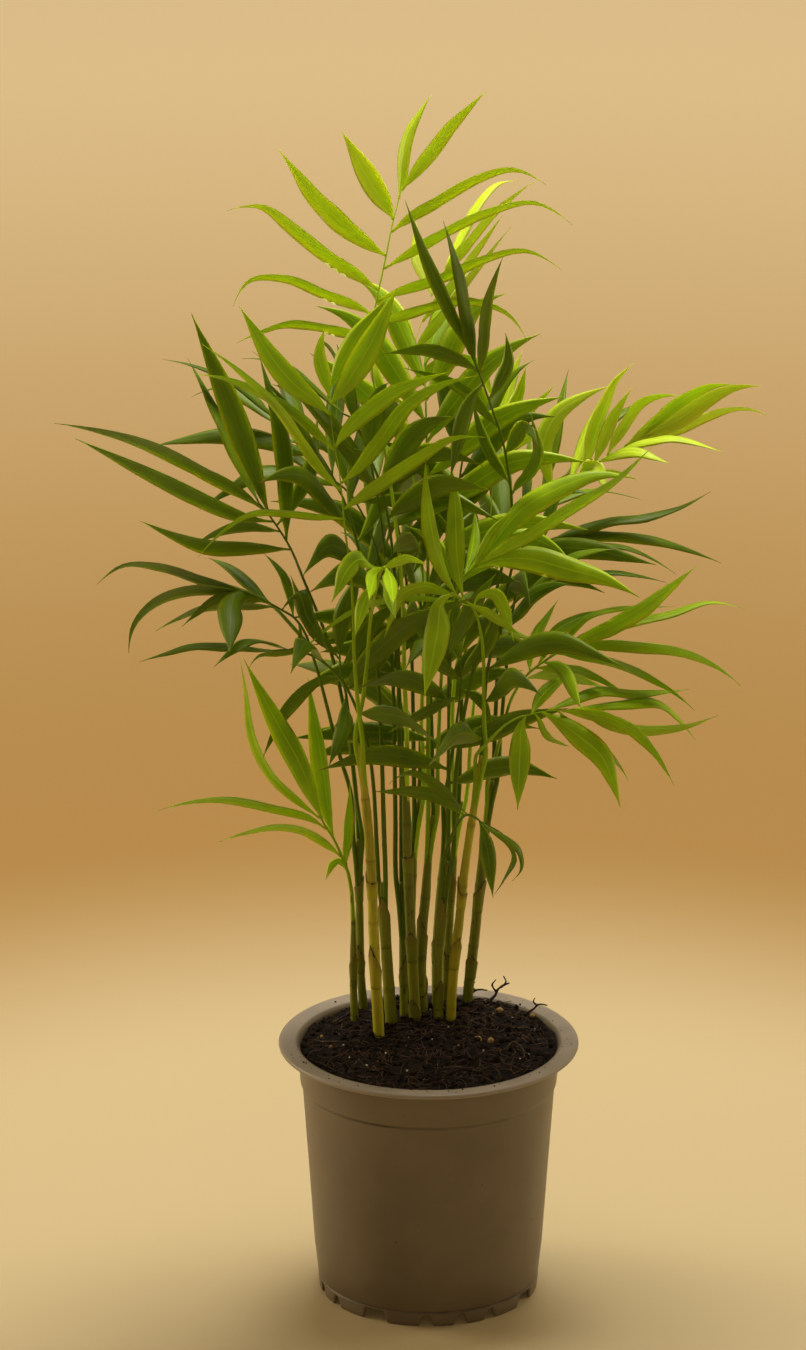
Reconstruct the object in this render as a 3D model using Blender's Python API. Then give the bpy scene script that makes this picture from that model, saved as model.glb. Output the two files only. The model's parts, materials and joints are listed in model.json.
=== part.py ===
"""Parlour palm in a 12 cm nursery pot: pot, potting soil, canes and feather-shaped fronds.

The origin is the middle of the pot's foot, +Z is up and the front of the plant faces -Y.
Each frond is one leaf that grew as one piece: a stalk with its leaflets. It stands on one of
the canes. Tables are in centimetres. The crown is laid out as it looks to someone standing in
front of the plant: x is across, h is the height seen against the pot's axis, y is the depth.
"""

import math
import random
from functools import partial

import bmesh
import bpy
from mathutils import Quaternion, Vector
from mathutils.bvhtree import BVHTree

CM = 0.01
UP = Vector((0, 0, 1))

# Pot, in centimetres.
RIM_RADIUS = 6.0
RIM_HEIGHT = 10.58
RIM_THICK = 0.2
NECK_RADIUS = 5.26
COLLAR_HEIGHT = 1.55
COLLAR_STEP = 0.08
FOOT_RADIUS = 4.41
FOOT_HEIGHT = 0.6
WALL = 0.11
PLATE_THICK = 0.15
# Gaps in the foot ring, the same in each quarter: place and width in degrees, and height.
# Each quarter starts at a wide drain gap, and QUARTER_START is where the first one is.
QUARTER_START = -29
NOTCHES = [(0, 15, 0.55), (28, 8.5, 0.42), (46, 8, 0.5), (63, 7.5, 0.4)]
NOTCH_SLOPE = 2.8

# Soil.
SOIL_EDGE = 10.3
SOIL_DOME = 0.22
SOIL_TILT = 0.02
# Space left between one piece and the next.
GAP = 0.03

# Where the viewer of the layout stands.
STATION = Vector((-0.25, -193.2, 87.3))

# Leaflet: its width and thickness, and the shares of its length where it has a section.
BLADE_WIDTH = 1.1
BLADE_THICK = 0.055
BLADE_SECTIONS = (0.12, 0.34, 0.58, 0.8)
# Its face is turned little by little from the frond's own direction, up to this share.
TURNED_BY = 0.34
TURN_STEPS = 20
# Half the piece of rib that it grows from.
LEAFLET_FOOT = 0.13
# A leaflet seen narrower than this on edge is a narrow one: (width seen, share of full width).
NARROW = [(0.32, 0.62), (0.5, 0.85)]

# Stalk: radii at the foot and the tip, and how far one, two or three stand off a cane's middle.
STALK_FOOT, STALK_TIP = 0.11, 0.055
STALK_SPREADS = (0.0, 0.17, 0.21)
FRONT_FACING = Vector((0, -1, 0.35))

# Finer sections and a little spare thickness, for testing that leaflets are clear of others.
FINE_SECTIONS = (0.14, 0.3, 0.5, 0.7, 0.88)
TEST_SPARE = 0.035
# Shares of its size that a leaflet may shrink to, so that it passes clear of its neighbours.
SHRINKS = (1.0, 0.8, 0.6)
# How far a leaflet's tip or a stalk may be moved for the same reason, in the order tried.
NUDGES = (0, 0.5, -0.5, 1, -1, 1.5, -1.5, 2, -2, 2.6, -2.6, 3.2, -3.2, 4, -4, 5, -5)

# Canes: foot (x, y) on the soil, then (x, h, y) on the way up, and the radii of foot and top.
CANES = {
    "cane_left_edge": [(-3.0, 2.7), (-3.0, 13, 2.6), (-3.0, 15.5, 2.5), (-3.08, 16.9, 2.4), 0.16, 0.12],
    "cane_left_back": [(-2.65, 3.8), (-2.7, 13, 3.7), (-2.75, 16, 3.5), (-2.8, 19, 3.3), 0.18, 0.15],
    "cane_front": [
        (-2.0, 0.5), (-2.1, 12.9, 0.4), (-2.2, 15.5, 0.2), (-2.3, 18.1, 0), (-2.5, 20.65, -0.3),
        (-2.75, 23, -0.6), 0.23, 0.17,
    ],
    "cane_left": [(-1.5, 1.8), (-1.65, 13.75, 1.8), (-1.85, 17.2, 1.8), 0.25, 0.2],
    "cane_middle_left": [(-1.0, 2.9), (-1.03, 14.6, 2.9), (-1.1, 17.2, 2.9), 0.17, 0.14],
    "cane_tall": [
        (-0.55, 2.3), (-0.68, 14.6, 2.2), (-0.8, 17.2, 2.1), (-0.9, 20.4, 2.0), (-1.0, 22.5, 1.9), 0.22, 0.18,
    ],
    "cane_middle": [
        (-0.25, 3.2), (-0.3, 14.2, 3.2), (-0.15, 16.35, 3.1), (0, 18.5, 3.0), (0.15, 20, 3.0), 0.22, 0.18,
    ],
    "cane_low": [(0.4, 2.2), (0.4, 13.75, 2.2), (0.6, 16.5, 2.1), (0.75, 18.1, 2.0), 0.2, 0.16],
    "cane_yellow": [
        (0.9, 2.1), (1.02, 13.75, 1.9), (1.3, 16.4, 1.7), (1.6, 19.4, 1.4), (1.88, 20.8, 1.3),
        (2.05, 22.5, 1.2), 0.21, 0.15,
    ],
    "cane_right": [
        (1.6, 4.3), (1.75, 14.2, 4.2), (2.0, 16.8, 4.0), (2.3, 19.8, 3.8), (2.5, 21.45, 3.6), 0.22, 0.18,
    ],
    "cane_inner": [
        (0.35, 3.5), (0.3, 13.5, 3.6), (0.4, 16, 3.6), (0.62, 18.5, 3.6), (0.75, 20.4, 3.6), 0.2, 0.16,
    ],
    "cane_back": [(-0.9, 4.4), (-0.75, 14, 4.5), (-0.6, 18.1, 4.6), (-0.4, 20.65, 4.7), 0.18, 0.14],
    "cane_back_right": [(0.7, 4.5), (0.85, 16, 4.5), (1.05, 19, 4.6), (1.3, 20.6, 4.7), 0.18, 0.15],
}

# Fronds: the cane below, the stalk, the ribbed part that carries the leaflets, then the
# leaflets as (places from foot to tip, depth gained at the tip, width seen).
FRONDS = {
    "frond_top": [
        "cane_tall",
        [(-0.95, 25, 1.8), (-1.1, 30, 1.7), (-1.7, 35, 1.6), (-2.25, 38, 1.5)],
        [(-2.25, 39.3, 1.4), (-2.05, 40.8, 1.3), (-1.75, 42.2, 1.2), (-1.4, 43.95, 1.1), (-1.05, 45.3, 1.0)],
        [
            ([(-2.3, 39.5), (-5.3, 40.0), (-7.45, 39.15)], -1.6, 0.38),
            ([(-2.2, 39.9), (0.8, 40.9), (2.8, 40.5), (3.8, 39.2)], -1.5, 0.4),
            ([(-2.15, 40.4), (-3.95, 41.2), (-6.1, 41.9), (-7.45, 41.25), (-7.55, 40.6)], -1.2, 0.42),
            ([(-2.05, 40.9), (0.6, 41.9), (3.25, 42.9), (5.05, 42.05)], -1.0, 0.42),
            ([(-2.0, 41.3), (-3.5, 42.4), (-4.9, 43.55), (-6.8, 44.7), (-7.75, 44.35)], -1.0, 0.62),
            ([(-1.8, 42.0), (0.65, 43.65), (3.6, 44.75), (5.45, 43.8)], -0.6, 0.4),
            ([(-1.75, 42.5), (-3.9, 44.4), (-5.75, 46.75)], -2.4, 0.85),
            ([(-1.45, 43.7), (1.0, 45.3), (3.05, 46.0), (4.45, 45.35)], -1.2, 0.45),
            ([(-1.35, 44.1), (-2.3, 45.5), (-3.35, 47.45)], -3.4, 0.95),
            ([(-1.1, 45.1), (-0.95, 47.1), (0.05, 48.85)], 1.6, 0.55),
            ([(-1.05, 45.2), (0.55, 47.4), (2.15, 49.0)], 1.0, 0.62),
        ],
    ],
    "frond_pale": [
        "cane_back",
        [(-0.3, 24, 4.8), (-0.2, 29, 5.0), (-0.65, 34, 5.3)],
        [(-0.9, 36.5, 5.3), (-0.8, 38.3, 5.4), (-0.2, 40.3, 5.6), (0.65, 42.3, 5.8)],
        [
            ([(-0.9, 36.8), (-2.0, 37.6), (-2.2, 39.5)], 1.5, 0.5),
            ([(-0.85, 37.6), (1.0, 38.65), (2.0, 38.15), (2.5, 36.6)], -1.5, 0.6),
            ([(-0.75, 38.6), (1.0, 41.2), (3.1, 43.75)], 1.0, 0.35),
            ([(-0.6, 39.2), (-1.6, 40.8), (-2.9, 41.9)], 3.5, 0.6),
            ([(-0.3, 40.0), (1.4, 42.4), (2.85, 44.3)], 2.0, 0.4),
            ([(0.1, 41.0), (-0.6, 42.6), (-0.5, 43.9)], 3.0, 0.5),
            ([(0.5, 42.0), (2.3, 44.2), (3.95, 45.5)], 1.0, 0.4),
            ([(0.6, 42.2), (1.5, 44.2), (2.5, 45.4), (3.4, 45.5)], 2.4, 0.4),
        ],
    ],
    "frond_upper_dark": [
        "cane_low",
        [(1.05, 21.5, 1.8), (1.5, 25, 1.2), (2.5, 29, 0.8), (3.1, 31.3, 0.6)],
        [
            (3.2, 32.7, 0.5), (3.05, 34.1, 0.3), (2.8, 35.4, 0.1),
            (2.45, 36.45, -0.1), (1.9, 38, -0.4), (1.55, 38.8, -0.5),
        ],
        [
            ([(3.15, 33.2), (4.1, 34.6), (3.9, 36.4)], -1.5, 0.55),
            ([(3.1, 33.6), (2.2, 35.0), (1.6, 37.0)], 1.5, 0.5),
            ([(2.95, 34.8), (3.7, 35.9), (4.2, 35.0)], -1.6, 0.7),
            ([(2.7, 35.8), (1.2, 37.5), (-1.0, 38.2)], 0.8, 0.5),
            ([(2.3, 36.9), (3.0, 38.4), (2.9, 39.6)], 0.6, 0.6),
            ([(1.95, 37.8), (1.4, 36.4), (0.8, 33.8)], -1.6, 0.7),
            ([(1.8, 38.2), (2.1, 40.6), (2.8, 42.6)], 1.0, 0.5),
            ([(1.65, 38.5), (0.1, 38.95), (-1.8, 38.75)], -1.2, 0.6),
            ([(1.6, 38.65), (1.2, 41.6), (0.5, 44.0)], -0.4, 0.55),
            ([(1.55, 38.75), (0.0, 42.2), (-0.95, 44.8)], -1.4, 0.9),
        ],
    ],
    "frond_front_bright": [
        "cane_front",
        [(-2.9, 26, -0.9), (-3.0, 29.4, -1.2), (-3.2, 31.0, -1.3)],
        [
            (-3.3, 32.0, -1.4), (-3.4, 33.25, -1.5), (-3.5, 34.2, -1.6),
            (-3.7, 35.3, -1.8), (-3.8, 36.3, -2.0), (-3.85, 37.5, -2.2),
        ],
        [
            ([(-3.3, 32.1), (-4.95, 32.4), (-6.5, 32.5), (-7.7, 32.0), (-9.0, 30.6)], -1.0, 0.3),
            ([(-3.35, 32.5), (-1.75, 33.8), (0.4, 35.2), (1.6, 35.6), (2.2, 35.45)], -1.0, 0.6),
            ([(-3.4, 33.2), (-4.5, 34.6), (-5.6, 36.5), (-7.9, 38.6), (-8.75, 39.15)], -1.2, 0.45),
            ([(-3.4, 33.5), (-2.4, 34.65), (-1.5, 36.0), (-0.2, 37.3), (1.85, 37.9)], -1.4, 0.7),
            ([(-3.6, 34.9), (-5.0, 36.4), (-6.3, 37.2), (-7.6, 37.75), (-9.05, 37.95)], -0.4, 0.45),
            ([(-3.65, 35.1), (-2.7, 36.3), (-1.2, 37.4), (0.75, 38.05)], -2.0, 0.75),
            ([(-3.8, 36.4), (-5.6, 38.0), (-7.3, 40.65)], -1.8, 0.95),
            ([(-3.8, 36.6), (-2.5, 38.7), (-1.25, 41.35)], -2.6, 1.1),
            ([(-3.85, 37.3), (-4.25, 38.7), (-4.0, 39.8)], -2.4, 0.6),
            ([(-3.85, 37.35), (-2.9, 39.2), (-1.6, 41.0)], 0.6, 0.9),
        ],
    ],
    "frond_left_inner": [
        "cane_left_back",
        [(-2.95, 21.5, 3.9), (-3.1, 23.6, 3.7)],
        [(-3.25, 25.0, 2.6), (-3.45, 25.9, 1.8), (-3.5, 26.8, 0.9)],
        [
            ([(-3.25, 25.0), (-3.3, 23.8), (-3.95, 22.05)], -1.8, 0.75),
            ([(-3.3, 25.2), (-2.2, 26.0), (-1.3, 27.2)], -0.6, 0.5),
            ([(-3.4, 25.7), (-4.45, 25.65), (-5.75, 24.2), (-6.55, 22.35)], -1.0, 0.6),
            ([(-3.45, 26.1), (-2.0, 28.2), (-0.8, 29.0)], -0.8, 0.7),
            ([(-3.5, 26.5), (-4.6, 27.9), (-5.4, 29.9)], 0.8, 0.6),
            ([(-3.5, 26.7), (-3.3, 28.4), (-2.6, 30.2)], 0.6, 0.9),
        ],
    ],
    "frond_left_droop": [
        "cane_left_back",
        [(-3.0, 20.5, 2.8), (-3.4, 22, 2.4), (-3.75, 23.5, 1.9), (-4.3, 25.7, 1.2), (-4.75, 27.3, 0.6)],
        [(-5.2, 28.1, 0.2), (-5.7, 28.45, -0.1), (-6.4, 28.85, -0.5), (-7.2, 29.25, -0.9)],
        [
            ([(-5.1, 28.0), (-5.15, 27.0), (-6.7, 26.6), (-7.05, 26.1)], -0.8, 0.3),
            ([(-5.2, 28.15), (-5.6, 29.8), (-6.45, 30.8)], 1.5, 0.4),
            ([(-5.7, 28.45), (-5.2, 29.3), (-4.75, 28.2), (-3.85, 26.7)], -2.0, 0.75),
            ([(-6.0, 28.6), (-7.9, 28.75), (-9.25, 28.45), (-10.7, 27.6)], 1.0, 0.35),
            ([(-6.5, 28.9), (-7.6, 30.1), (-8.6, 30.6)], 2.0, 0.5),
            ([(-6.8, 29.0), (-8.2, 28.95), (-9.65, 27.8)], -0.9, 0.5),
            ([(-7.0, 29.15), (-7.6, 28.9), (-7.8, 26.7)], -2.6, 1.1),
            ([(-7.15, 29.2), (-9.95, 30.1), (-11.05, 30.4), (-12.0, 30.25), (-12.95, 29.5)], 0.6, 0.42),
            ([(-7.2, 29.25), (-9.35, 29.35), (-10.45, 29.0), (-11.75, 27.55), (-11.75, 26.7)], -0.6, 0.5),
        ],
    ],
    "frond_left_dark": [
        "cane_left_back",
        [(-3.1, 23, 2.9), (-3.9, 27, 2.3), (-5.0, 30, 1.6)],
        [(-5.4, 31.0, 1.2), (-5.8, 31.7, 0.8), (-6.2, 32.3, 0.4), (-6.6, 32.8, 0.0)],
        [
            ([(-5.4, 31.05), (-7.2, 31.1), (-8.95, 31.2), (-11.25, 32.1)], -1.6, 0.7),
            ([(-5.5, 31.2), (-5.6, 35.0), (-6.55, 38.75)], -0.6, 0.8),
            ([(-5.75, 31.6), (-7.0, 31.95), (-8.3, 31.6), (-9.1, 31.1)], 1.4, 0.5),
            ([(-5.8, 31.8), (-4.6, 34.0), (-4.3, 36.4)], 2.2, 0.7),
            ([(-6.1, 32.1), (-7.65, 32.4), (-10.8, 34.0), (-13.7, 35.4)], -3.6, 0.72),
            ([(-6.2, 32.3), (-7.65, 36.6), (-9.15, 40.4)], -0.8, 1.1),
            ([(-6.5, 32.7), (-8.25, 33.85), (-11.4, 35.4), (-14.5, 36.0)], -5.5, 0.55),
            ([(-6.55, 32.75), (-7.9, 36.0), (-9.3, 38.6)], 1.6, 0.5),
        ],
    ],
    "frond_left_low": [
        "cane_left_edge",
        [],
        [(-3.2, 17.6, 2.2), (-3.45, 18.3, 2.0), (-3.75, 19.0, 1.7), (-4.05, 19.5, 1.4), (-4.35, 20.05, 1.1)],
        [
            ([(-3.25, 17.7), (-3.7, 18.1), (-4.1, 17.3)], -0.5, 0.35),
            ([(-3.3, 17.9), (-3.2, 19.6), (-3.1, 21.4)], 1.2, 0.45),
            ([(-3.5, 18.4), (-4.8, 19.4), (-5.8, 19.6), (-7.1, 19.35), (-8.3, 18.9)], -0.8, 0.34),
            ([(-3.8, 19.1), (-4.1, 21.4), (-4.75, 25.8)], 0.5, 0.8),
            ([(-4.0, 19.4), (-5.1, 20.1), (-8.25, 20.75), (-10.7, 20.2)], -0.5, 0.38),
            ([(-4.3, 19.95), (-5.1, 22.2), (-6.15, 24.2), (-7.25, 26.5)], -0.6, 1.0),
            ([(-4.35, 20.0), (-5.65, 21.15), (-6.7, 22.6), (-7.0, 24.2), (-7.4, 26.55)], 1.2, 0.42),
        ],
    ],
    "frond_centre_front": [
        "cane_yellow",
        [(2.15, 24.2, 1.0), (2.1, 26.9, 0.4), (1.85, 28.2, -0.2)],
        [(1.6, 28.7, -0.7), (1.2, 29.0, -1.3), (0.85, 29.2, -1.9)],
        [
            ([(1.55, 28.75), (2.1, 29.3), (2.8, 28.8), (3.3, 27.2)], 1.2, 0.6),
            ([(1.4, 28.85), (-0.3, 29.0), (-2.0, 28.85), (-3.65, 28.05), (-5.2, 26.5)], 0.8, 0.3),
            ([(1.3, 28.95), (2.3, 28.4), (3.65, 27.4)], -1.0, 0.42),
            ([(1.1, 29.05), (1.05, 31.0), (1.0, 32.9), (0.85, 34.3)], 1.0, 0.85),
            ([(1.0, 29.1), (-0.4, 29.5), (-1.1, 29.1), (-1.75, 27.35)], -0.8, 0.55),
            ([(0.95, 29.15), (0.25, 31.0), (-0.1, 33.2), (-0.15, 34.6)], 0.0, 0.7),
            ([(0.85, 29.2), (0.45, 28.7), (0.3, 27.4), (-0.2, 24.9)], -2.0, 1.1),
        ],
    ],
    "frond_right_bright": [
        "cane_middle",
        [(0.35, 22.5, 2.5), (0.45, 25, 1.8), (0.6, 27.5, 0.9)],
        [(1.2, 29.6, 0.2), (1.7, 30.2, -0.2), (2.1, 30.6, -0.5)],
        [
            ([(1.25, 29.7), (0.2, 31.2), (-0.9, 31.9)], 1.0, 0.6),
            ([(1.35, 29.8), (3.2, 31.2), (4.4, 31.3), (5.65, 30.2)], 0.8, 0.95),
            ([(1.5, 30.0), (1.7, 31.2), (1.75, 32.6)], 1.4, 0.5),
            ([(1.65, 30.15), (3.0, 30.65), (5.2, 30.2), (7.2, 29.6), (8.2, 29.0)], -2.6, 1.2),
            ([(1.85, 30.35), (2.5, 31.7), (3.25, 32.5)], 1.8, 0.5),
            ([(2.0, 30.5), (4.35, 31.95), (6.3, 33.2), (7.6, 34.1), (8.6, 35.1)], -1.2, 0.55),
            ([(2.05, 30.55), (3.4, 32.4), (4.95, 33.4), (6.4, 33.95), (8.0, 33.8)], 0.4, 1.0),
        ],
    ],
    "frond_right_light": [
        "cane_inner",
        [(0.9, 23, 3.6), (1.2, 27, 3.6), (2.5, 30, 3.6), (4.2, 32.5, 3.7)],
        [(5.2, 33.5, 3.8), (6.0, 34.1, 4.1), (6.8, 34.65, 4.4), (7.5, 35.05, 4.7), (8.2, 35.4, 5.0)],
        [
            ([(4.9, 33.2), (4.35, 34.9), (5.1, 36.6), (6.95, 37.5)], 1.2, 0.85),
            ([(5.2, 33.5), (7.0, 34.1), (8.0, 33.7)], 1.4, 0.3),
            ([(5.35, 33.65), (6.0, 35.6), (6.7, 37.2)], 2.6, 0.5),
            ([(5.7, 33.9), (6.4, 34.3), (6.85, 33.25)], -2.2, 0.7),
            ([(5.8, 33.95), (6.6, 36.2), (7.2, 37.7), (7.85, 38.4)], 1.6, 0.6),
            ([(6.3, 34.3), (7.0, 36.2), (7.8, 37.45)], 0.4, 0.55),
            ([(6.6, 34.5), (7.8, 34.9), (9.3, 34.4)], -2.2, 0.5),
            ([(6.8, 34.65), (7.4, 35.9), (8.3, 37.0), (9.65, 37.1)], 1.4, 0.5),
            ([(7.2, 34.9), (8.4, 35.3), (9.65, 35.4), (11.35, 34.85)], -1.2, 0.35),
            ([(7.7, 35.15), (9.3, 36.6), (10.5, 37.4), (11.75, 37.55)], 1.4, 0.7),
            ([(7.9, 35.25), (9.9, 36.0), (11.6, 36.65), (13.0, 36.35)], 3.6, 0.45),
            ([(8.15, 35.4), (9.6, 36.2), (11.2, 37.3), (12.75, 37.5)], 1.6, 0.75),
        ],
    ],
    "frond_right_back": [
        "cane_back_right",
        [(1.7, 24, 5.0), (2.1, 29, 5.4), (2.4, 32.5, 5.7)],
        [(2.5, 34.0, 5.8), (2.65, 35.2, 5.9), (2.75, 36.3, 6.0)],
        [
            ([(2.5, 34.2), (3.6, 35.4), (5.2, 35.6)], 1.5, 0.6),
            ([(2.55, 34.5), (1.2, 35.9), (0.2, 36.4)], 1.5, 0.6),
            ([(2.65, 35.2), (3.6, 36.3), (4.85, 37.55)], 1.0, 0.42),
            ([(2.7, 35.6), (1.9, 37.2), (1.7, 38.6)], 2.0, 0.6),
            ([(2.75, 36.0), (3.4, 37.1), (3.7, 38.3)], 0.5, 0.55),
            ([(2.75, 36.2), (3.1, 37.5), (3.55, 38.9)], 2.0, 0.55),
        ],
    ],
    "frond_right_mid": [
        "cane_right",
        [(2.85, 24, 3.7), (3.1, 27, 3.9), (3.5, 29.8, 4.0)],
        [(4.0, 30.9, 4.0), (4.6, 31.3, 4.0), (5.2, 31.4, 4.0)],
        [
            ([(4.0, 30.9), (5.9, 30.4), (7.25, 29.85)], 1.6, 0.3),
            ([(4.15, 31.0), (4.7, 32.6), (5.3, 33.9)], 2.0, 0.5),
            ([(4.55, 31.25), (7.0, 31.15), (8.2, 30.85), (9.6, 29.95)], -1.8, 0.25),
            ([(4.7, 31.3), (7.15, 32.2), (9.05, 32.4), (10.9, 33.3)], 0.8, 0.42),
            ([(5.1, 31.4), (6.55, 31.6), (8.25, 31.5), (10.1, 30.95), (11.35, 30.4)], -0.4, 0.45),
        ],
    ],
    "frond_right_lower": [
        "cane_right",
        [(2.75, 23, 2.8), (3.2, 24.8, 2.3)],
        [(3.8, 25.8, 2.0), (4.5, 26.4, 1.7), (5.1, 26.8, 1.4), (5.7, 27.15, 1.1)],
        [
            ([(3.75, 25.7), (4.9, 25.9), (6.85, 25.35)], 2.4, 0.6),
            ([(3.85, 25.85), (4.0, 27.2), (5.0, 28.9)], 2.2, 0.5),
            ([(4.2, 26.15), (5.9, 26.05), (7.75, 25.05)], -2.2, 0.42),
            ([(4.3, 26.25), (4.9, 27.6), (6.2, 28.3), (7.15, 28.45)], 1.8, 0.6),
            ([(4.6, 26.45), (5.2, 25.9), (6.0, 24.4)], -2.4, 0.65),
            ([(4.8, 26.6), (6.4, 28.4), (9.6, 28.65)], 2.0, 0.25),
            ([(4.95, 26.7), (6.9, 26.5), (9.0, 25.55), (10.45, 24.35)], -0.6, 0.38),
            ([(5.2, 26.85), (6.5, 27.7), (8.95, 28.25), (11.05, 28.85), (12.3, 28.55)], 1.4, 0.4),
            ([(5.45, 27.0), (7.35, 27.15), (10.35, 26.7), (12.2, 25.4)], -1.6, 0.5),
            ([(5.65, 27.15), (8.1, 28.5), (10.4, 30.3)], 0.2, 0.75),
        ],
    ],
    "frond_right_droop": [
        "cane_yellow",
        [(2.6, 23.4, 0.9), (3.3, 24.0, 0.5)],
        [(3.9, 24.2, 0.2), (4.6, 24.35, -0.1), (5.3, 24.4, -0.4), (5.9, 24.45, -0.7)],
        [
            ([(3.85, 24.2), (3.6, 23.3), (3.5, 20.25)], -1.6, 0.95),
            ([(4.1, 24.25), (4.6, 25.2), (5.6, 25.9)], 1.2, 0.6),
            ([(4.4, 24.3), (4.7, 23.3), (5.6, 22.85)], 1.0, 0.3),
            ([(4.7, 24.35), (5.9, 23.3), (6.9, 22.3), (7.55, 20.35)], -2.4, 1.05),
            ([(4.9, 24.4), (6.5, 25.2), (8.2, 25.1), (10.2, 25.25)], 1.2, 0.48),
            ([(5.1, 24.4), (6.4, 23.2), (7.3, 22.4), (7.85, 21.45)], 0.6, 0.38),
            ([(5.5, 24.4), (7.2, 24.05), (8.6, 23.05), (9.65, 21.3)], -1.8, 0.55),
            ([(5.6, 24.4), (7.6, 24.7), (9.25, 24.6), (10.45, 23.15)], 0.8, 0.42),
            ([(5.85, 24.45), (8.0, 23.7), (10.2, 23.8), (11.35, 24.2)], -0.4, 0.5),
        ],
    ],
    "frond_front_left": [
        "cane_front",
        [(-2.5, 25.5, -1.6), (-2.3, 28, -2.4)],
        [(-2.0, 29.6, -3.6), (-1.85, 30.1, -4.6), (-1.75, 30.25, -5.8), (-1.7, 30.2, -7.2)],
        [
            ([(-2.0, 29.6), (-2.5, 28.9), (-2.9, 27.4)], -1.6, 0.6),
            ([(-1.95, 29.7), (-1.6, 29.2), (-1.3, 28.1)], -2.2, 0.55),
            ([(-1.85, 30.1), (-2.9, 30.5), (-3.8, 28.8)], -1.4, 0.85),
            ([(-1.8, 30.15), (-0.9, 30.6), (0.0, 30.3)], -1.6, 0.4),
            ([(-1.75, 30.2), (-2.1, 29.9), (-2.35, 28.9)], -3.6, 0.6),
            ([(-1.7, 30.2), (-1.5, 29.8), (-1.4, 28.7)], -4.4, 0.6),
        ],
    ],
    "frond_low_centre": [
        "cane_low",
        [(1.0, 19.4, 1.2)],
        [(1.4, 20.0, 0.3), (1.8, 19.95, -0.6), (2.15, 19.65, -1.3)],
        [
            ([(1.4, 20.0), (0.0, 20.95), (-2.2, 21.0)], -0.6, 0.6),
            ([(1.55, 20.0), (0.4, 21.3), (-0.7, 21.85), (-1.6, 21.3)], -1.8, 0.45),
            ([(1.9, 19.9), (3.0, 19.1), (3.4, 18.15), (2.6, 16.7)], 0.2, 0.28),
            ([(2.05, 19.75), (2.3, 18.6), (2.55, 16.55)], -1.0, 0.7),
            ([(2.15, 19.65), (3.4, 18.8), (3.75, 18.0), (3.3, 17.25)], -0.8, 0.32),
        ],
    ],
    "frond_inner": [
        "cane_inner",
        [(0.9, 22.5, 2.9), (1.1, 24.0, 2.3)],
        [(1.2, 24.9, 1.8), (1.25, 25.7, 1.4), (1.2, 26.5, 1.1)],
        [
            ([(1.2, 24.95), (-0.2, 24.3), (-1.6, 23.45)], -1.0, 0.5),
            ([(1.2, 25.1), (2.0, 24.8), (2.5, 23.8)], -0.8, 0.5),
            ([(1.25, 25.6), (0.2, 26.6), (-0.6, 28.4)], 0.6, 0.7),
            ([(1.25, 25.9), (2.3, 27.2), (2.7, 28.8)], 0.4, 0.7),
            ([(1.2, 26.4), (0.9, 27.8), (1.1, 29.6)], 1.4, 0.85),
        ],
    ],
}

# Fronds of the back and the sides, grown by one rule: cane below, direction in degrees from
# +X towards the back, height of the tip, reach, pairs of leaflets, length of a leaflet.
RULED_FRONDS = {
    "frond_back_left": ["cane_left", 155, 35, 5.0, 6, 7.5],
    "frond_back_low_left": ["cane_left", 205, 27, 5.0, 4, 6.5],
    "frond_side_left": ["cane_middle_left", 170, 33, 3.6, 5, 7.0],
    "frond_inner_left": ["cane_middle_left", 200, 36, 2.6, 5, 6.5],
    "frond_back_high": ["cane_middle", 95, 37, 2.6, 6, 7.5],
    "frond_back_middle": ["cane_back", 130, 32, 2.6, 6, 6.5],
    "frond_back_low": ["cane_back", 70, 26, 3.0, 5, 6.0],
    "frond_back_right": ["cane_back_right", 35, 30, 3.6, 5, 6.5],
    "frond_side_right": ["cane_right", 12, 33, 4.0, 5, 6.5],
    "frond_centre_high": ["cane_tall", 290, 35, 3.0, 5, 6.5],
    "frond_middle_high": ["cane_inner", 60, 34, 1.8, 6, 6.0],
    "frond_middle_left": ["cane_middle", 150, 30, 2.2, 6, 6.0],
    "frond_middle_low": ["cane_low", 250, 27, 2.0, 5, 5.5],
    "frond_middle_right": ["cane_yellow", 20, 29, 3.2, 6, 6.0],
    "frond_middle_back": ["cane_middle_left", 100, 28, 2.4, 5, 5.5],
}

LEAF_COLOURS = {
    "light": (0.29, 0.37, 0.02),
    "bright": (0.13, 0.21, 0.008),
    "dark": (0.045, 0.085, 0.006),
}
FROND_TONES = {
    "frond_top": "light",
    "frond_pale": "light",
    "frond_front_bright": "bright",
    "frond_right_light": "light",
    "frond_right_back": "light",
    "frond_right_bright": "bright",
    "frond_centre_front": "bright",
    "frond_left_low": "bright",
    "frond_right_lower": "bright",
    "frond_right_droop": "bright",
    "frond_back_high": "bright",
}
CANE_COLOURS = {"cane_front": (0.26, 0.19, 0.012), "cane_yellow": (0.28, 0.2, 0.014)}
CANE_COLOUR = (0.1, 0.11, 0.01)
POT_COLOUR = (0.095, 0.07, 0.046)
SOIL_COLOUR = (0.006, 0.004, 0.0028)


def at(x, h, y):
    """The place at depth y that looks, from the station, as if it were at (x, h) on the axis."""
    scale = (y - STATION.y) / -STATION.y
    across = STATION.x + (x - STATION.x) * scale
    height = STATION.z + (h - STATION.z) * scale
    return Vector((across, y, height))


def soil_height(x, y):
    """Height of the soil's top, which is slightly domed and highest at the back right."""
    out = min(1.0, math.hypot(x, y) / NECK_RADIUS)
    return SOIL_EDGE + SOIL_DOME * (1 - out * out) + SOIL_TILT * (x + y)


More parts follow.
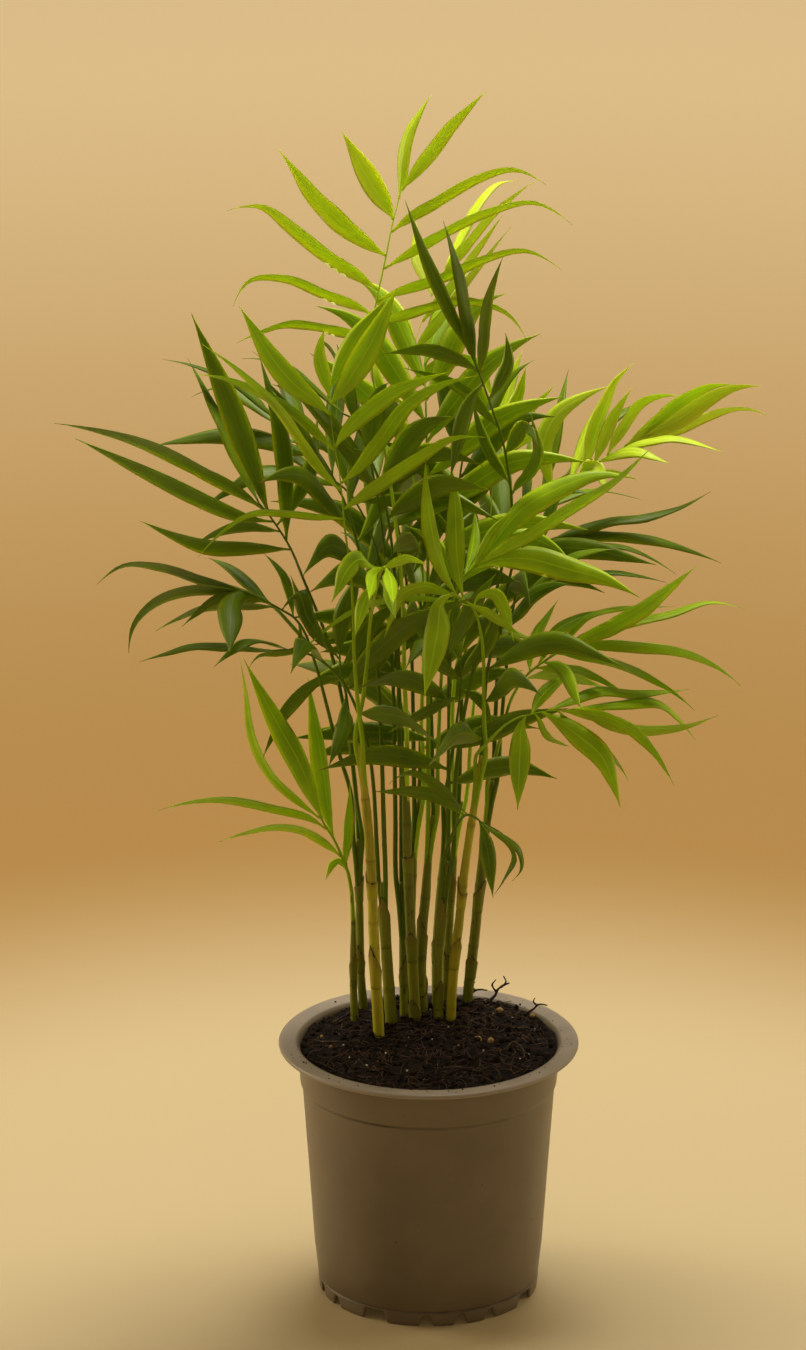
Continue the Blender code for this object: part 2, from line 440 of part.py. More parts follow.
class Curve:
    """A smooth curve through a few points, measured by its length from 0 to 1."""

    def __init__(self, points, steps=10):
        ends = [2 * points[0] - points[1], *points, 2 * points[-1] - points[-2]]
        self.points = [points[0].copy()]
        for a, b, c, d in zip(ends, ends[1:], ends[2:], ends[3:]):
            for k in range(1, steps + 1):
                self.points.append(self.between(a, b, c, d, k / steps))
        self.marks = [0.0]
        for p, q in zip(self.points, self.points[1:]):
            self.marks.append(self.marks[-1] + (q - p).length)
        self.length = self.marks[-1]

    @staticmethod
    def between(a, b, c, d, t):
        """Catmull-Rom from b to c."""
        bend = (2 * a - 5 * b + 4 * c - d) * t * t + (3 * b - a - 3 * c + d) * t * t * t
        return b + ((c - a) * t + bend) / 2

    def point(self, share):
        mark = min(max(share, 0.0), 1.0) * self.length
        for k in range(1, len(self.marks)):
            if mark <= self.marks[k]:
                span = self.marks[k] - self.marks[k - 1]
                return self.points[k - 1].lerp(self.points[k], (mark - self.marks[k - 1]) / span)
        return self.points[-1].copy()

    def direction(self, share):
        ahead = self.point(min(share + 0.02, 1.0))
        behind = self.point(max(share - 0.02, 0.0))
        return (ahead - behind).normalized()

    def nearest(self, x, h):
        """The share of the curve that looks nearest to (x, h) from the station."""
        best, found = 1e9, 0.0
        for mark, p in zip(self.marks, self.points):
            scale = (p.y - STATION.y) / -STATION.y
            seen_x = STATION.x + (p.x - STATION.x) / scale
            seen_h = STATION.z + (p.z - STATION.z) / scale
            away = math.hypot(seen_x - x, seen_h - h)
            if away < best:
                best, found = away, mark / self.length
        return found


def square_to(direction, hint):
    """The part of hint at right angles to a direction, with length 1."""
    across = hint - direction * hint.dot(direction)
    return across.normalized()


class Blade:
    """One leaflet: its centre line, its width and the way its upper face looks."""

    def __init__(self, places, width, seen, frame, side):
        self.curve = Curve(places)
        self.width = width
        self.seen = seen
        self.side = side
        self.rib, up, right = frame
        self.carried = self.carry(right * side, up)
        self.signs = self.nearest_signs() if seen else None

    def ahead(self, share):
        """Direction along the leaflet, evened out over a tenth of its length each way."""
        before = self.curve.point(share - 0.1)
        return (self.curve.point(share + 0.1) - before).normalized()

    def carry(self, out, up):
        """The rib's upper direction bent over to the leaflet, then taken to its tip untwisted."""
        found = [out.rotation_difference(self.ahead(0)) @ up]
        for k in range(TURN_STEPS):
            here, there = self.ahead(k / TURN_STEPS), self.ahead((k + 1) / TURN_STEPS)
            found.append(here.rotation_difference(there) @ found[-1])
        return found

    def untwisted(self, share):
        return square_to(self.ahead(share), self.carried[round(share * TURN_STEPS)])

    def turned(self, share, signs):
        """Upper face's direction that shows the seen width: it faces and leans by these signs."""
        ahead = self.ahead(share)
        sight = square_to(ahead, STATION - self.curve.point(share))
        angle = math.acos(min(1.0, self.seen / self.width))
        return sight * signs[0] * math.cos(angle) + ahead.cross(sight) * signs[1] * math.sin(angle)

    def nearest_signs(self):
        """The signs that need the smallest twist."""
        plain = self.untwisted(TURNED_BY)
        choices = [(face, lean) for face in (1, -1) for lean in (1, -1)]
        return max(choices, key=lambda signs: self.turned(TURNED_BY, signs).dot(plain))

    def normal(self, share):
        """Upper face's direction: the rib's at the foot, then turned to show the seen width."""
        if self.signs is None:
            return self.untwisted(share)
        if share >= TURNED_BY:
            return self.turned(share, self.signs)
        plain, goal = self.untwisted(TURNED_BY), self.turned(TURNED_BY, self.signs)
        turn = math.atan2(plain.cross(goal).dot(self.ahead(TURNED_BY)), plain.dot(goal))
        return Quaternion(self.ahead(share), turn * share / TURNED_BY) @ self.untwisted(share)

    def half_width(self, share):
        """Half the width, less beside the rib and on a sharp bend, where it would fold over."""
        full = self.width / 2 * math.sin(math.pi * min(share, 0.999) ** 0.8) ** 0.75
        away = self.curve.point(share) - self.curve.points[0]
        from_rib = (away - self.rib * away.dot(self.rib)).length
        bend = (self.ahead(share + 0.1) - self.ahead(share - 0.1)).length
        radius = 0.2 * self.curve.length / max(bend, 0.01)
        return min(full, max(from_rib, 0.06), 0.8 * radius)

    def section(self, share, spare=0.0):
        """Four corners: foot-side edge above and below, then tip-side edge below and above."""
        middle = self.curve.point(share)
        up = self.normal(share)
        wide = up.cross(self.ahead(share)) * self.side * (self.half_width(share) + spare)
        thick = up * (BLADE_THICK / 2 + spare)
        near, far = middle - wide, middle + wide
        return [near + thick, near - thick, far - thick, far + thick]

    def test_shape(self, shares):
        """A slightly thicker copy with sections at these shares, for finding collisions."""
        rings = [self.section(share, TEST_SPARE) for share in shares]
        tip = self.curve.point(1.0) + self.curve.direction(1.0) * TEST_SPARE
        points = [corner for ring in rings for corner in ring] + [tip]
        faces = [(0, 1, 2, 3)]
        for k in range(len(rings) - 1):
            faces += ring_faces(4 * k, 4 * k + 4, 4)
        last = 4 * (len(rings) - 1)
        faces += [(last + k, last + (k + 1) % 4, len(points) - 1) for k in range(4)]
        return Obstacle(points, faces)


class Obstacle:
    """A shape that others have to stay clear of."""

    def __init__(self, points, faces):
        self.tree = BVHTree.FromPolygons([tuple(p) for p in points], faces)
        self.low = [min(p[k] for p in points) for k in range(3)]
        self.high = [max(p[k] for p in points) for k in range(3)]

    def touches(self, other):
        for k in range(3):
            if self.low[k] > other.high[k] or other.low[k] > self.high[k]:
                return False
        return bool(self.tree.overlap(other.tree))


def is_clear(shape, obstacles):
    return not any(shape.touches(other) for other in obstacles)


def ring_faces(first, second, count):
    """The quads between two rings of corners."""
    return [(first + k, first + (k + 1) % count, second + (k + 1) % count, second + k) for k in range(count)]


def tube_shape(curve, radii, sides, rings, start=0.0, spare=0.0):
    """Corners and faces of a closed tube along a curve."""
    points, faces = [], []
    hint = Vector((0.3, -1, 0.2))
    for k in range(rings + 1):
        share = start + (1 - start) * k / rings
        ahead = curve.direction(share)
        front = square_to(ahead, hint)
        right = ahead.cross(front)
        radius = radii[0] + (radii[1] - radii[0]) * share + spare
        for j in range(sides):
            turn = 2 * math.pi * j / sides
            points.append(curve.point(share) + (front * math.cos(turn) + right * math.sin(turn)) * radius)
        if k:
            faces += ring_faces(sides * (k - 1), sides * k, sides)
    faces.append(tuple(range(sides)))
    faces.append(tuple(range(sides * rings, sides * (rings + 1))))
    return points, faces


def make_object(name, points, faces, colour, roughness, smooth=False):
    """A mesh object from centimetre corners, with its faces turned outward and its own material."""
    work = bmesh.new()
    corners = [work.verts.new(Vector(p) * CM) for p in points]
    for face in faces:
        work.faces.new([corners[k] for k in face])
    bmesh.ops.recalc_face_normals(work, faces=work.faces)
    for face in work.faces:
        face.smooth = smooth
    mesh = bpy.data.meshes.new(name)
    work.to_mesh(mesh)
    work.free()
    obj = bpy.data.objects.new(name, mesh)
    bpy.context.scene.collection.objects.link(obj)
    material = bpy.data.materials.new(name)
    material.use_nodes = True
    shader = material.node_tree.nodes["Principled BSDF"]
    shader.inputs["Base Color"].default_value = (*colour, 1)
    shader.inputs["Roughness"].default_value = roughness
    mesh.materials.append(material)
    return obj


def foot_columns():
    """(angle in degrees, lift of the foot's edge) round the pot, with columns at every notch."""
    columns = []
    for quarter in range(4):
        start = QUARTER_START + 90 * quarter
        for k, (place, width, height) in enumerate(NOTCHES):
            middle, half = start + place, width / 2
            columns.append((middle - half, 0.0))
            columns.append((middle - half + NOTCH_SLOPE, height))
            columns.append((middle + half - NOTCH_SLOPE, height))
            columns.append((middle + half, 0.0))
            after = NOTCHES[(k + 1) % len(NOTCHES)]
            following = start + after[0] - after[1] / 2 + (90 if k == len(NOTCHES) - 1 else 0)
            gap = following - middle - half
            between = max(1, round(gap / 8))
            for j in range(1, between + 1):
                columns.append((middle + half + gap * j / (between + 1), 0.0))
    return columns


def pot_profile():
    """(radius, height, rides on the notches) round the wall's section, from the foot's inside."""
    collar = RIM_HEIGHT - RIM_THICK - COLLAR_HEIGHT
    taper = (NECK_RADIUS - FOOT_RADIUS) / (RIM_HEIGHT - RIM_THICK)
    below_collar = FOOT_RADIUS + taper * collar
    plate_top = FOOT_HEIGHT + PLATE_THICK
    lip = RIM_HEIGHT - RIM_THICK
    return [
        (FOOT_RADIUS - WALL, FOOT_HEIGHT, False),
        (FOOT_RADIUS - WALL, 0, True),
        (FOOT_RADIUS, 0, True),
        (FOOT_RADIUS + 0.05, FOOT_HEIGHT + 0.03, False),
        (below_collar - COLLAR_STEP, collar - 0.1, False),
        (below_collar, collar, False),
        (NECK_RADIUS, lip, False),
        (RIM_RADIUS - 0.08, lip - 0.04, False),
        (RIM_RADIUS, lip + 0.06, False),
        (RIM_RADIUS - 0.07, RIM_HEIGHT, False),
        (NECK_RADIUS - 0.02, RIM_HEIGHT - 0.03, False),
        (NECK_RADIUS - WALL - 0.02, lip - 0.12, False),
        (below_collar - WALL - COLLAR_STEP, collar - 0.1, False),
        (FOOT_RADIUS - WALL, plate_top, False),
    ]


def build_pot():
    """Thin-walled pot, with a flat lip, a collar and a notched foot ring below its base plate."""
    profile, columns = pot_profile(), foot_columns()
    points, faces = [], []
    for degrees, lift in columns:
        turn = math.radians(degrees)
        for radius, height, on_notch in profile:
            rise = lift if on_notch else 0.0
            points.append((radius * math.sin(turn), -radius * math.cos(turn), height + rise))
    count, around = len(profile), len(columns)
    for j in range(around):
        here, there = j * count, (j + 1) % around * count
        for k in range(count - 1):
            faces.append((here + k, here + k + 1, there + k + 1, there + k))
    points += [(0, 0, FOOT_HEIGHT), (0, 0, FOOT_HEIGHT + PLATE_THICK)]
    under, over = len(points) - 2, len(points) - 1
    for j in range(around):
        here, there = j * count, (j + 1) % around * count
        faces.append((here, there, under))
        faces.append((here + count - 1, there + count - 1, over))
    make_object("pot", points, faces, POT_COLOUR, 0.42, smooth=True)


def build_soil():
    """Potting soil: it fills the pot to just below the lip."""
    sides, rings = 36, 4
    taper = (NECK_RADIUS - FOOT_RADIUS) / (RIM_HEIGHT - RIM_THICK)
    bottom = FOOT_HEIGHT + PLATE_THICK + GAP
    foot = FOOT_RADIUS - WALL - COLLAR_STEP - 0.1 + taper * bottom
    top = FOOT_RADIUS - WALL - COLLAR_STEP - 0.06 + taper * SOIL_EDGE
    points, faces = [(0, 0, bottom), (0, 0, soil_height(0, 0))], []
    for radius, on_top in [(foot, False)] + [(top * k / rings, True) for k in range(rings, 0, -1)]:
        for j in range(sides):
            turn = 2 * math.pi * j / sides
            x, y = radius * math.cos(turn), radius * math.sin(turn)
            points.append((x, y, soil_height(x, y) if on_top else bottom))
    for k in range(rings):
        faces += ring_faces(2 + sides * k, 2 + sides * (k + 1), sides)
    for j in range(sides):
        faces.append((2 + j, 2 + (j + 1) % sides, 0))
        faces.append((2 + sides * rings + j, 2 + sides * rings + (j + 1) % sides, 1))
    make_object("soil", points, faces, SOIL_COLOUR, 0.95)


def cane_curve(entry):
    """Centre line of a cane, from just above the soil."""
    x, y = entry[0]
    foot = Vector((x, y, soil_height(x, y) + GAP + 0.02))
    return Curve([foot] + [at(*place) for place in entry[1:-2]])


def build_canes():
    """All the canes, and the shapes that the fronds have to clear."""
    curves, obstacles = {}, []
    for name, entry in CANES.items():
        curve = cane_curve(entry)
        radii = entry[-2:]
        points, faces = tube_shape(curve, radii, 6, 5)
        make_object(name, points, faces, CANE_COLOURS.get(name, CANE_COLOUR), 0.45, smooth=True)
        obstacles.append(Obstacle(*tube_shape(curve, radii, 6, 8, spare=0.04)))
        curves[name] = curve
    return curves, obstacles


def stalk_foot(cane, slot, slots):
    """Where a frond's stalk starts: on the cane's top, beside the other stalks there."""
    ahead = cane.direction(1.0)
    front = square_to(ahead, Vector((0, -1, 0)))
    right = ahead.cross(front)
    turn = 2 * math.pi * slot / slots + 0.6
    side = (right * math.cos(turn) + front * math.sin(turn)) * STALK_SPREADS[slots - 1]
    return cane.point(1.0) + ahead * 2 * GAP + side


class Stalk:
    """A frond's stalk and rib, and the stations along it where leaflets grow."""

    def __init__(self, places, facing):
        self.curve = Curve(places)
        self.facing = facing

    def radius(self, share):
        return STALK_FOOT + (STALK_TIP - STALK_FOOT) * share

    def frame(self, share):
        ahead = self.curve.direction(share)
        up = square_to(ahead, self.facing)
        return ahead, up, ahead.cross(up)

    def corners(self, share):
        """Corners of the square section: right side above and below, then left below and above."""
        ahead, up, right = self.frame(share)
        half = self.radius(share) * 0.8
        middle = self.curve.point(share)
        return [middle + (right * a + up * b) * half for a, b in ((1, 1), (1, -1), (-1, -1), (-1, 1))]

    def test_shape(self):
        radii = (STALK_FOOT, STALK_TIP)
        return Obstacle(*tube_shape(self.curve, radii, 4, 14, start=0.02, spare=TEST_SPARE))


def spread_stations(shares, half):
    """The leaflets' stations in order, moved apart so that none shares its piece of rib."""
    order = sorted(range(len(shares)), key=lambda k: shares[k])
    placed = [0.0] * len(shares)
    lowest = 0.0
    for k in order:
        placed[k] = max(shares[k], lowest + half)
        lowest = placed[k] + half * 1.25
    over = lowest - half * 0.25 - 1.0
    if over > 0:
        highest = 1.0
        for k in reversed(order):
            placed[k] = min(placed[k], highest - half)
            highest = placed[k] - half * 1.25
    return placed


def rib_rings(blades, stations, half):
    """Shares of the rib's rings from the foot up, and the leaflet that grows after some of them."""
    rings = [(min(stations) - half) * k / 5 for k in range(5)]
    marks = {}
    for k in sorted(range(len(stations)), key=lambda k: stations[k]):
        marks[len(rings)] = blades[k]
        rings += [stations[k] - half, stations[k] + half]
    return rings, marks


def frond_mesh(stalk, blades, stations):
    """One closed surface: a square rib whose side faces are drawn out into leaflets."""
    rings, marks = rib_rings(blades, stations, LEAFLET_FOOT / stalk.curve.length)
    points, faces = [], []
    for share in rings:
        points += stalk.corners(share)
    for k in range(len(rings) - 1):
        quads = ring_faces(4 * k, 4 * k + 4, 4)
        blade = marks.get(k)
        if blade is None:
            faces += quads
            continue
        drawn = 0 if blade.side > 0 else 2
        faces += [quad for j, quad in enumerate(quads) if j != drawn]
        draw_out(blade, 4 * k, points, faces)
    faces.append((0, 1, 2, 3))
    last = 4 * (len(rings) - 1)
    faces.append((last, last + 1, last + 2, last + 3))
    return points, faces


def draw_out(blade, ring, points, faces):
    """Adds one leaflet to the frond's mesh, from the open side of the rib at a ring."""
    if blade.side > 0:
        loop = [ring, ring + 1, ring + 5, ring + 4]
    else:
        loop = [ring + 3, ring + 2, ring + 6, ring + 7]
    for share in BLADE_SECTIONS:
        start = len(points)
        points += blade.section(share)
        fresh = list(range(start, start + 4))
        for k in range(4):
            a, b, c, d = loop[k], loop[(k + 1) % 4], fresh[(k + 1) % 4], fresh[k]
            # One diagonal for the upper and the lower face, which would cross where it twists.
            faces += [(a, b, c), (a, c, d)] if k < 2 else [(a, b, d), (b, c, d)]
        loop = fresh
    points.append(blade.curve.point(1.0))
    faces += [(loop[k], loop[(k + 1) % 4], len(points) - 1) for k in range(4)]


def table_places(stalk, share, places, depth):
    """A leaflet's centre line from its row of the table."""
    foot = stalk.curve.point(share)
    marks = [0.0]
    for (x0, h0), (x1, h1) in zip(places, places[1:]):
        marks.append(marks[-1] + math.hypot(x1 - x0, h1 - h0))
    line = [foot]
    for (x, h), mark in zip(places[1:], marks[1:]):
        line.append(at(x, h, foot.y + depth * mark / marks[-1]))
    if len(line) == 2:
        line.insert(1, (line[0] + line[1]) / 2 + UP * 0.05 * (line[1] - line[0]).length)
    return line


def fit_blade(make, obstacles, siblings):
    """The first nudge that leaves the leaflet clear of everything, or none if all collide."""
    for shrink in SHRINKS:
        for nudge in NUDGES:
            blade = make(nudge, shrink)
            whole = blade.test_shape((0.03,) + BLADE_SECTIONS)
            outer = blade.test_shape(FINE_SECTIONS)
            if is_clear(whole, obstacles) and is_clear(outer, obstacles + siblings):
                return blade, whole, outer
    return None, None, None


def grow_blades(makers, stations, obstacles):
    """The leaflets that fit, their stations, and the shapes that later leaflets have to clear."""
    blades, kept, shapes, siblings = [], [], [], []
    for make, share in zip(makers, stations):
        blade, whole, outer = fit_blade(make, obstacles, siblings)
        if blade is None:
            continue
        blades.append(blade)
        kept.append(share)
        shapes += [whole, outer]
        siblings.append(outer)
    return blades, kept, shapes


def table_stalk(name, curves, slots, nudge):
    """The stalk of a frond from the table, its bare part moved in depth by a nudge."""
    cane, stem, rib = FRONDS[name][:3]
    places = [stalk_foot(curves[cane], *slots[name])]
    places += [at(x, h, y + nudge * 0.4) for x, h, y in stem]
    places += [at(*place) for place in rib]
    return Stalk(places, FRONT_FACING)


def table_blade(stalk, share, row, nudge, shrink):
    """One leaflet from its row of the table, its tip nudged along the line of sight."""
    places, depth, seen = row
    line = table_places(stalk, share, places, depth + nudge)
    frame = stalk.frame(share)
    side = 1 if (line[1] - line[0]).dot(frame[2]) > 0 else -1
    narrow = next((part for most, part in NARROW if seen < most), 1.0)
    by_length = 0.16 * (line[-1] - line[0]).length + 0.1
    width = max(min(max(BLADE_WIDTH * narrow, seen), by_length), min(seen, 1.2))
    return Blade(line, width * shrink, seen * shrink, frame, side)


def table_makers(name, stalk):
    """For each leaflet of a frond from the table, a function that makes it, and its station."""
    rows = FRONDS[name][3]
    wanted = [stalk.curve.nearest(*row[0][0]) for row in rows]
    stations = spread_stations(wanted, LEAFLET_FOOT / stalk.curve.length)
    return [partial(table_blade, stalk, share, row) for share, row in zip(stations, rows)], stations


def ruled_stalk(name, curves, slots, nudge):
    """Stalk of a frond grown by rule: it rises from the cane and arches outward."""
    cane, turn, top, reach = RULED_FRONDS[name][:4]
    foot = stalk_foot(curves[cane], *slots[name])
    turn = math.radians(turn + 12 * nudge)
    out = Vector((math.cos(turn), math.sin(turn), 0))
    rise = top - foot.z
    places = [foot]
    for share in (0.3, 0.55, 0.75, 0.9, 1.0):
        places.append(foot + out * reach * share**2.2 + UP * rise * math.sin(share * math.pi / 2) ** 0.9)
    facing = UP * 0.75 - out * 0.6 if reach >= 3 else UP * 0.3 - out
    return Stalk(places, facing.normalized())


def ruled_blade(stalk, share, side, heading, reach, sag, nudge, shrink):
    """One leaflet that leaves the rib by a heading and sags towards its tip."""
    frame = stalk.frame(share)
    foot, up = stalk.curve.point(share), frame[1]
    size = reach * shrink
    middle = foot + heading * size * 0.52 + up * nudge * 0.45
    tip = foot + heading * size * 0.96 - UP * sag * size + up * nudge
    width = BLADE_WIDTH * (0.72 + 0.035 * size)
    return Blade([foot, middle, tip], width, None, frame, side)


def ruled_makers(name, stalk, chance):
    """Makers and stations of paired leaflets, longest in the middle, closing towards the tip."""
    pairs, length = RULED_FRONDS[name][4:]
    count = 2 * pairs
    first = 1 - 1.5 * pairs / stalk.curve.length
    wanted = [first + (1 - first) * (k + 0.5) / count for k in range(count)]
    stations = spread_stations(wanted, LEAFLET_FOOT / stalk.curve.length)
    makers = []
    for k, share in enumerate(stations):
        side = 1 if k % 2 else -1
        along = k / (count - 1)
        ahead, up, right = stalk.frame(share)
        angle = math.radians(72 - 48 * along + chance.uniform(-7, 7))
        belly = 0.72 + 0.4 * math.sin(math.pi * (0.2 + 0.62 * along))
        reach = length * belly * chance.uniform(0.85, 1.05)
        heading = ahead * math.cos(angle) + right * side * math.sin(angle) + up * chance.uniform(0.05, 0.3)
        sag = chance.uniform(0.1, 0.32)
        makers.append(partial(ruled_blade, stalk, share, side, heading.normalized(), reach, sag))
    return makers, stations


def fit_stalk(make, obstacles):
    """The first nudge that leaves a stalk clear of the canes and of the stalks before it."""
    for nudge in NUDGES:
        stalk = make(nudge)
        shape = stalk.test_shape()
        if is_clear(shape, obstacles):
            break
    return stalk, shape


def slots_on_canes():
    """Each frond's place among the fronds of its cane, as (which, how many)."""
    users = {}
    for name, row in list(FRONDS.items()) + list(RULED_FRONDS.items()):
        users.setdefault(row[0], []).append(name)
    return {name: (k, len(names)) for names in users.values() for k, name in enumerate(names)}


def build_stalks(curves, obstacles):
    """Every frond's stalk, and the shape that the leaflets of the others have to clear."""
    slots = slots_on_canes()
    stalks, shapes = {}, {}
    for name in [*FRONDS, *RULED_FRONDS]:
        grow = table_stalk if name in FRONDS else ruled_stalk
        make = partial(grow, name, curves, slots)
        stalks[name], shapes[name] = fit_stalk(make, obstacles + list(shapes.values()))
    return stalks, shapes


def build_fronds(curves, obstacles):
    """All the fronds: first every stalk, then the leaflets, so that none runs through another."""
    chance = random.Random(12)
    stalks, stalk_shapes = build_stalks(curves, obstacles)
    leaf_shapes = []
    for name, stalk in stalks.items():
        others = [shape for other, shape in stalk_shapes.items() if other != name]
        if name in FRONDS:
            makers, stations = table_makers(name, stalk)
        else:
            makers, stations = ruled_makers(name, stalk, chance)
        blades, kept, shapes = grow_blades(makers, stations, obstacles + others + leaf_shapes)
        leaf_shapes += shapes
        points, faces = frond_mesh(stalk, blades, kept)
        make_object(name, points, faces, LEAF_COLOURS[FROND_TONES.get(name, "dark")], 0.4)


def clear_scene():
    for obj in list(bpy.data.objects):
        bpy.data.objects.remove(obj, do_unlink=True)


def main():
    clear_scene()
    build_pot()
    build_soil()
    curves, obstacles = build_canes()
    build_fronds(curves, obstacles)


main()
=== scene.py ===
"""Looks of the potted parlour palm: pot, soil with its bits, canes with their dry sheaths, and fronds.

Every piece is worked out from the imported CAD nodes. A CAD frond is a square rib with a few flat
sections for each leaflet, so its mesh is read back into centre lines here, and each leaflet is
drawn again with a midrib, veins, a thin edge and a soft fold. All lengths are in metres.
"""

import json
import math
import random

import bmesh
import bpy
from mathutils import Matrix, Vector, noise


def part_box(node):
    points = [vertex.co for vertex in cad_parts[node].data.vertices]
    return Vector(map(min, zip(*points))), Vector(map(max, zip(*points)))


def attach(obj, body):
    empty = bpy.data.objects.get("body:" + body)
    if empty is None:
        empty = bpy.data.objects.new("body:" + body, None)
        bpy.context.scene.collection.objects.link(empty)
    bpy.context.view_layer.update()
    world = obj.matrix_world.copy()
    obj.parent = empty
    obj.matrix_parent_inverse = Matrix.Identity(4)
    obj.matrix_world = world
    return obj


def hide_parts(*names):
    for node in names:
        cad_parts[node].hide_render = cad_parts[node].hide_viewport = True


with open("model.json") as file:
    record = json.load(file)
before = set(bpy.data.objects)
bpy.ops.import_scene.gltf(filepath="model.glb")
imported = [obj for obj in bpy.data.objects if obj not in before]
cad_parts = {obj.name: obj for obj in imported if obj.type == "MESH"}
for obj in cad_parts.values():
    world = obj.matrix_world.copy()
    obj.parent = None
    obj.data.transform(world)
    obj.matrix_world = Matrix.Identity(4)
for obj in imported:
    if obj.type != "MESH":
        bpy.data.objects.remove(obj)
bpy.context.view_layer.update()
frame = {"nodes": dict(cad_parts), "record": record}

MM = 0.001
CM = 0.01
UP = Vector((0, 0, 1))

# Camera: where it stands, how far it looks down, and its lens in millimetres.
CAMERA_PLACE = Vector((-0.0025, -1.932, 0.873))
CAMERA_PITCH = math.radians(17.65)
CAMERA_YAW = 0.004
CAMERA_LENS = 138.2

# How the CAD fronds are drawn: flat sections of a leaflet, counted from tip to rib.
LEAFLET_SECTIONS = 4
CANE_SIDES = 6
CAD_SHARES = (0.12, 0.34, 0.58, 0.8)
WELD = 0.01 * MM
TIP_ANGLE = math.radians(170)

# Leaflets.
LEAF_RINGS = 20
LEAF_ACROSS = 7
LEAF_EDGE = 0.16 * MM
LEAF_MIDDLE = 0.34 * MM
LEAF_SLIM = 0.9
# Share of its last stretch by which a leaflet's tip stays inside the solid's.
TIP_INSET = 0.012
# How far down its cane a frond's stalk starts, inside the cane's tapering top.
STALK_ROOT = 30 * MM

# Pot, as the CAD has it.
POT_LOW, POT_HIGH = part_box("pot")
RIM_RADIUS = POT_HIGH.x
RIM_HEIGHT = POT_HIGH.z
RIM_THICK = 2.0 * MM
NECK_RADIUS = 52.6 * MM
COLLAR_HEIGHT = 15.5 * MM
COLLAR_STEP = 0.8 * MM
FOOT_RADIUS = 44.1 * MM
FOOT_HEIGHT = 6 * MM
WALL = 1.1 * MM
PLATE_THICK = 1.5 * MM
# Gaps in the foot ring, the same in each quarter: place and width in degrees, height in millimetres.
QUARTER_START = -29
NOTCHES = [(0, 15, 5.5), (28, 8.5, 4.2), (46, 8, 5.0), (63, 7.5, 4.0)]
NOTCH_SLOPE = 2.8
POT_COLUMNS = 720

# Soil.
SOIL_RADIUS = 51.3 * MM
SOIL_EDGE = 103 * MM
SOIL_DOME = 2.2 * MM
SOIL_TILT = 0.02
CRUMB_COUNT = 900
FIBRE_COUNT = 520
LIP_SPECKS = 70
SOIL_STEP = 0.55 * MM


class Paint:
    """A material's node tree, built from small calls."""

    def __init__(self, name, **surface):
        self.material = bpy.data.materials.new(name)
        self.material.use_nodes = True
        self.tree = self.material.node_tree
        self.shader = self.tree.nodes["Principled BSDF"]
        for key, value in surface.items():
            self.shader.inputs[key.replace("_", " ")].default_value = value

    def add(self, kind, inputs=None, **settings):
        node = self.tree.nodes.new(kind)
        for key, value in settings.items():
            setattr(node, key, value)
        for key, value in (inputs or {}).items():
            self.join(value, node.inputs[key])
        return node

    def join(self, value, socket):
        if isinstance(value, bpy.types.NodeSocket):
            self.tree.links.new(value, socket)
        else:
            socket.default_value = value

    def number(self, name):
        """A number that the mesh holds at each corner."""
        return self.add("ShaderNodeAttribute", attribute_name=name).outputs["Fac"]

    def place(self, scale=(1, 1, 1)):
        where = self.add("ShaderNodeTexCoord").outputs["Object"]
        return self.add("ShaderNodeMapping", {"Vector": where, "Scale": scale}).outputs["Vector"]

    def noise(self, vector, scale, detail=3.0, rough=0.55):
        inputs = {"Vector": vector, "Scale": scale, "Detail": detail, "Roughness": rough}
        return self.add("ShaderNodeTexNoise", inputs).outputs["Fac"]

    def spots(self, vector, scale):
        inputs = {"Vector": vector, "Scale": scale}
        return self.add("ShaderNodeTexVoronoi", inputs).outputs["Distance"]

    def sums(self, operation, first, second=0.0, clamp=False):
        inputs = {0: first, 1: second}
        return self.add("ShaderNodeMath", inputs, operation=operation, use_clamp=clamp).outputs[0]

    def span(self, value, low, high, to_low=0.0, to_high=1.0):
        """A value's span from low to high, spread smoothly over another."""
        inputs = {"Value": value, "From Min": low, "From Max": high, "To Min": to_low, "To Max": to_high}
        return self.add("ShaderNodeMapRange", inputs, interpolation_type="SMOOTHSTEP").outputs["Result"]

    def mix(self, share, first, second, blend="MIX"):
        node = self.add("ShaderNodeMix", data_type="RGBA", blend_type=blend)
        self.join(share, node.inputs["Factor"])
        for value, socket in ((first, node.inputs[6]), (second, node.inputs[7])):
            self.join(value if isinstance(value, bpy.types.NodeSocket) else (*value, 1), socket)
        return node.outputs[2]

    def combine(self, x, y, z=0.0):
        return self.add("ShaderNodeCombineXYZ", {"X": x, "Y": y, "Z": z}).outputs[0]

    def bump(self, height, strength, distance, before=None):
        inputs = {"Height": height, "Strength": strength, "Distance": distance}
        if before is not None:
            inputs["Normal"] = before
        return self.add("ShaderNodeBump", inputs).outputs["Normal"]

    def finish(self, colour=None, roughness=None, normal=None):
        for value, key in ((colour, "Base Color"), (roughness, "Roughness"), (normal, "Normal")):
            if value is not None:
                self.join(value, self.shader.inputs[key])
        return self.material


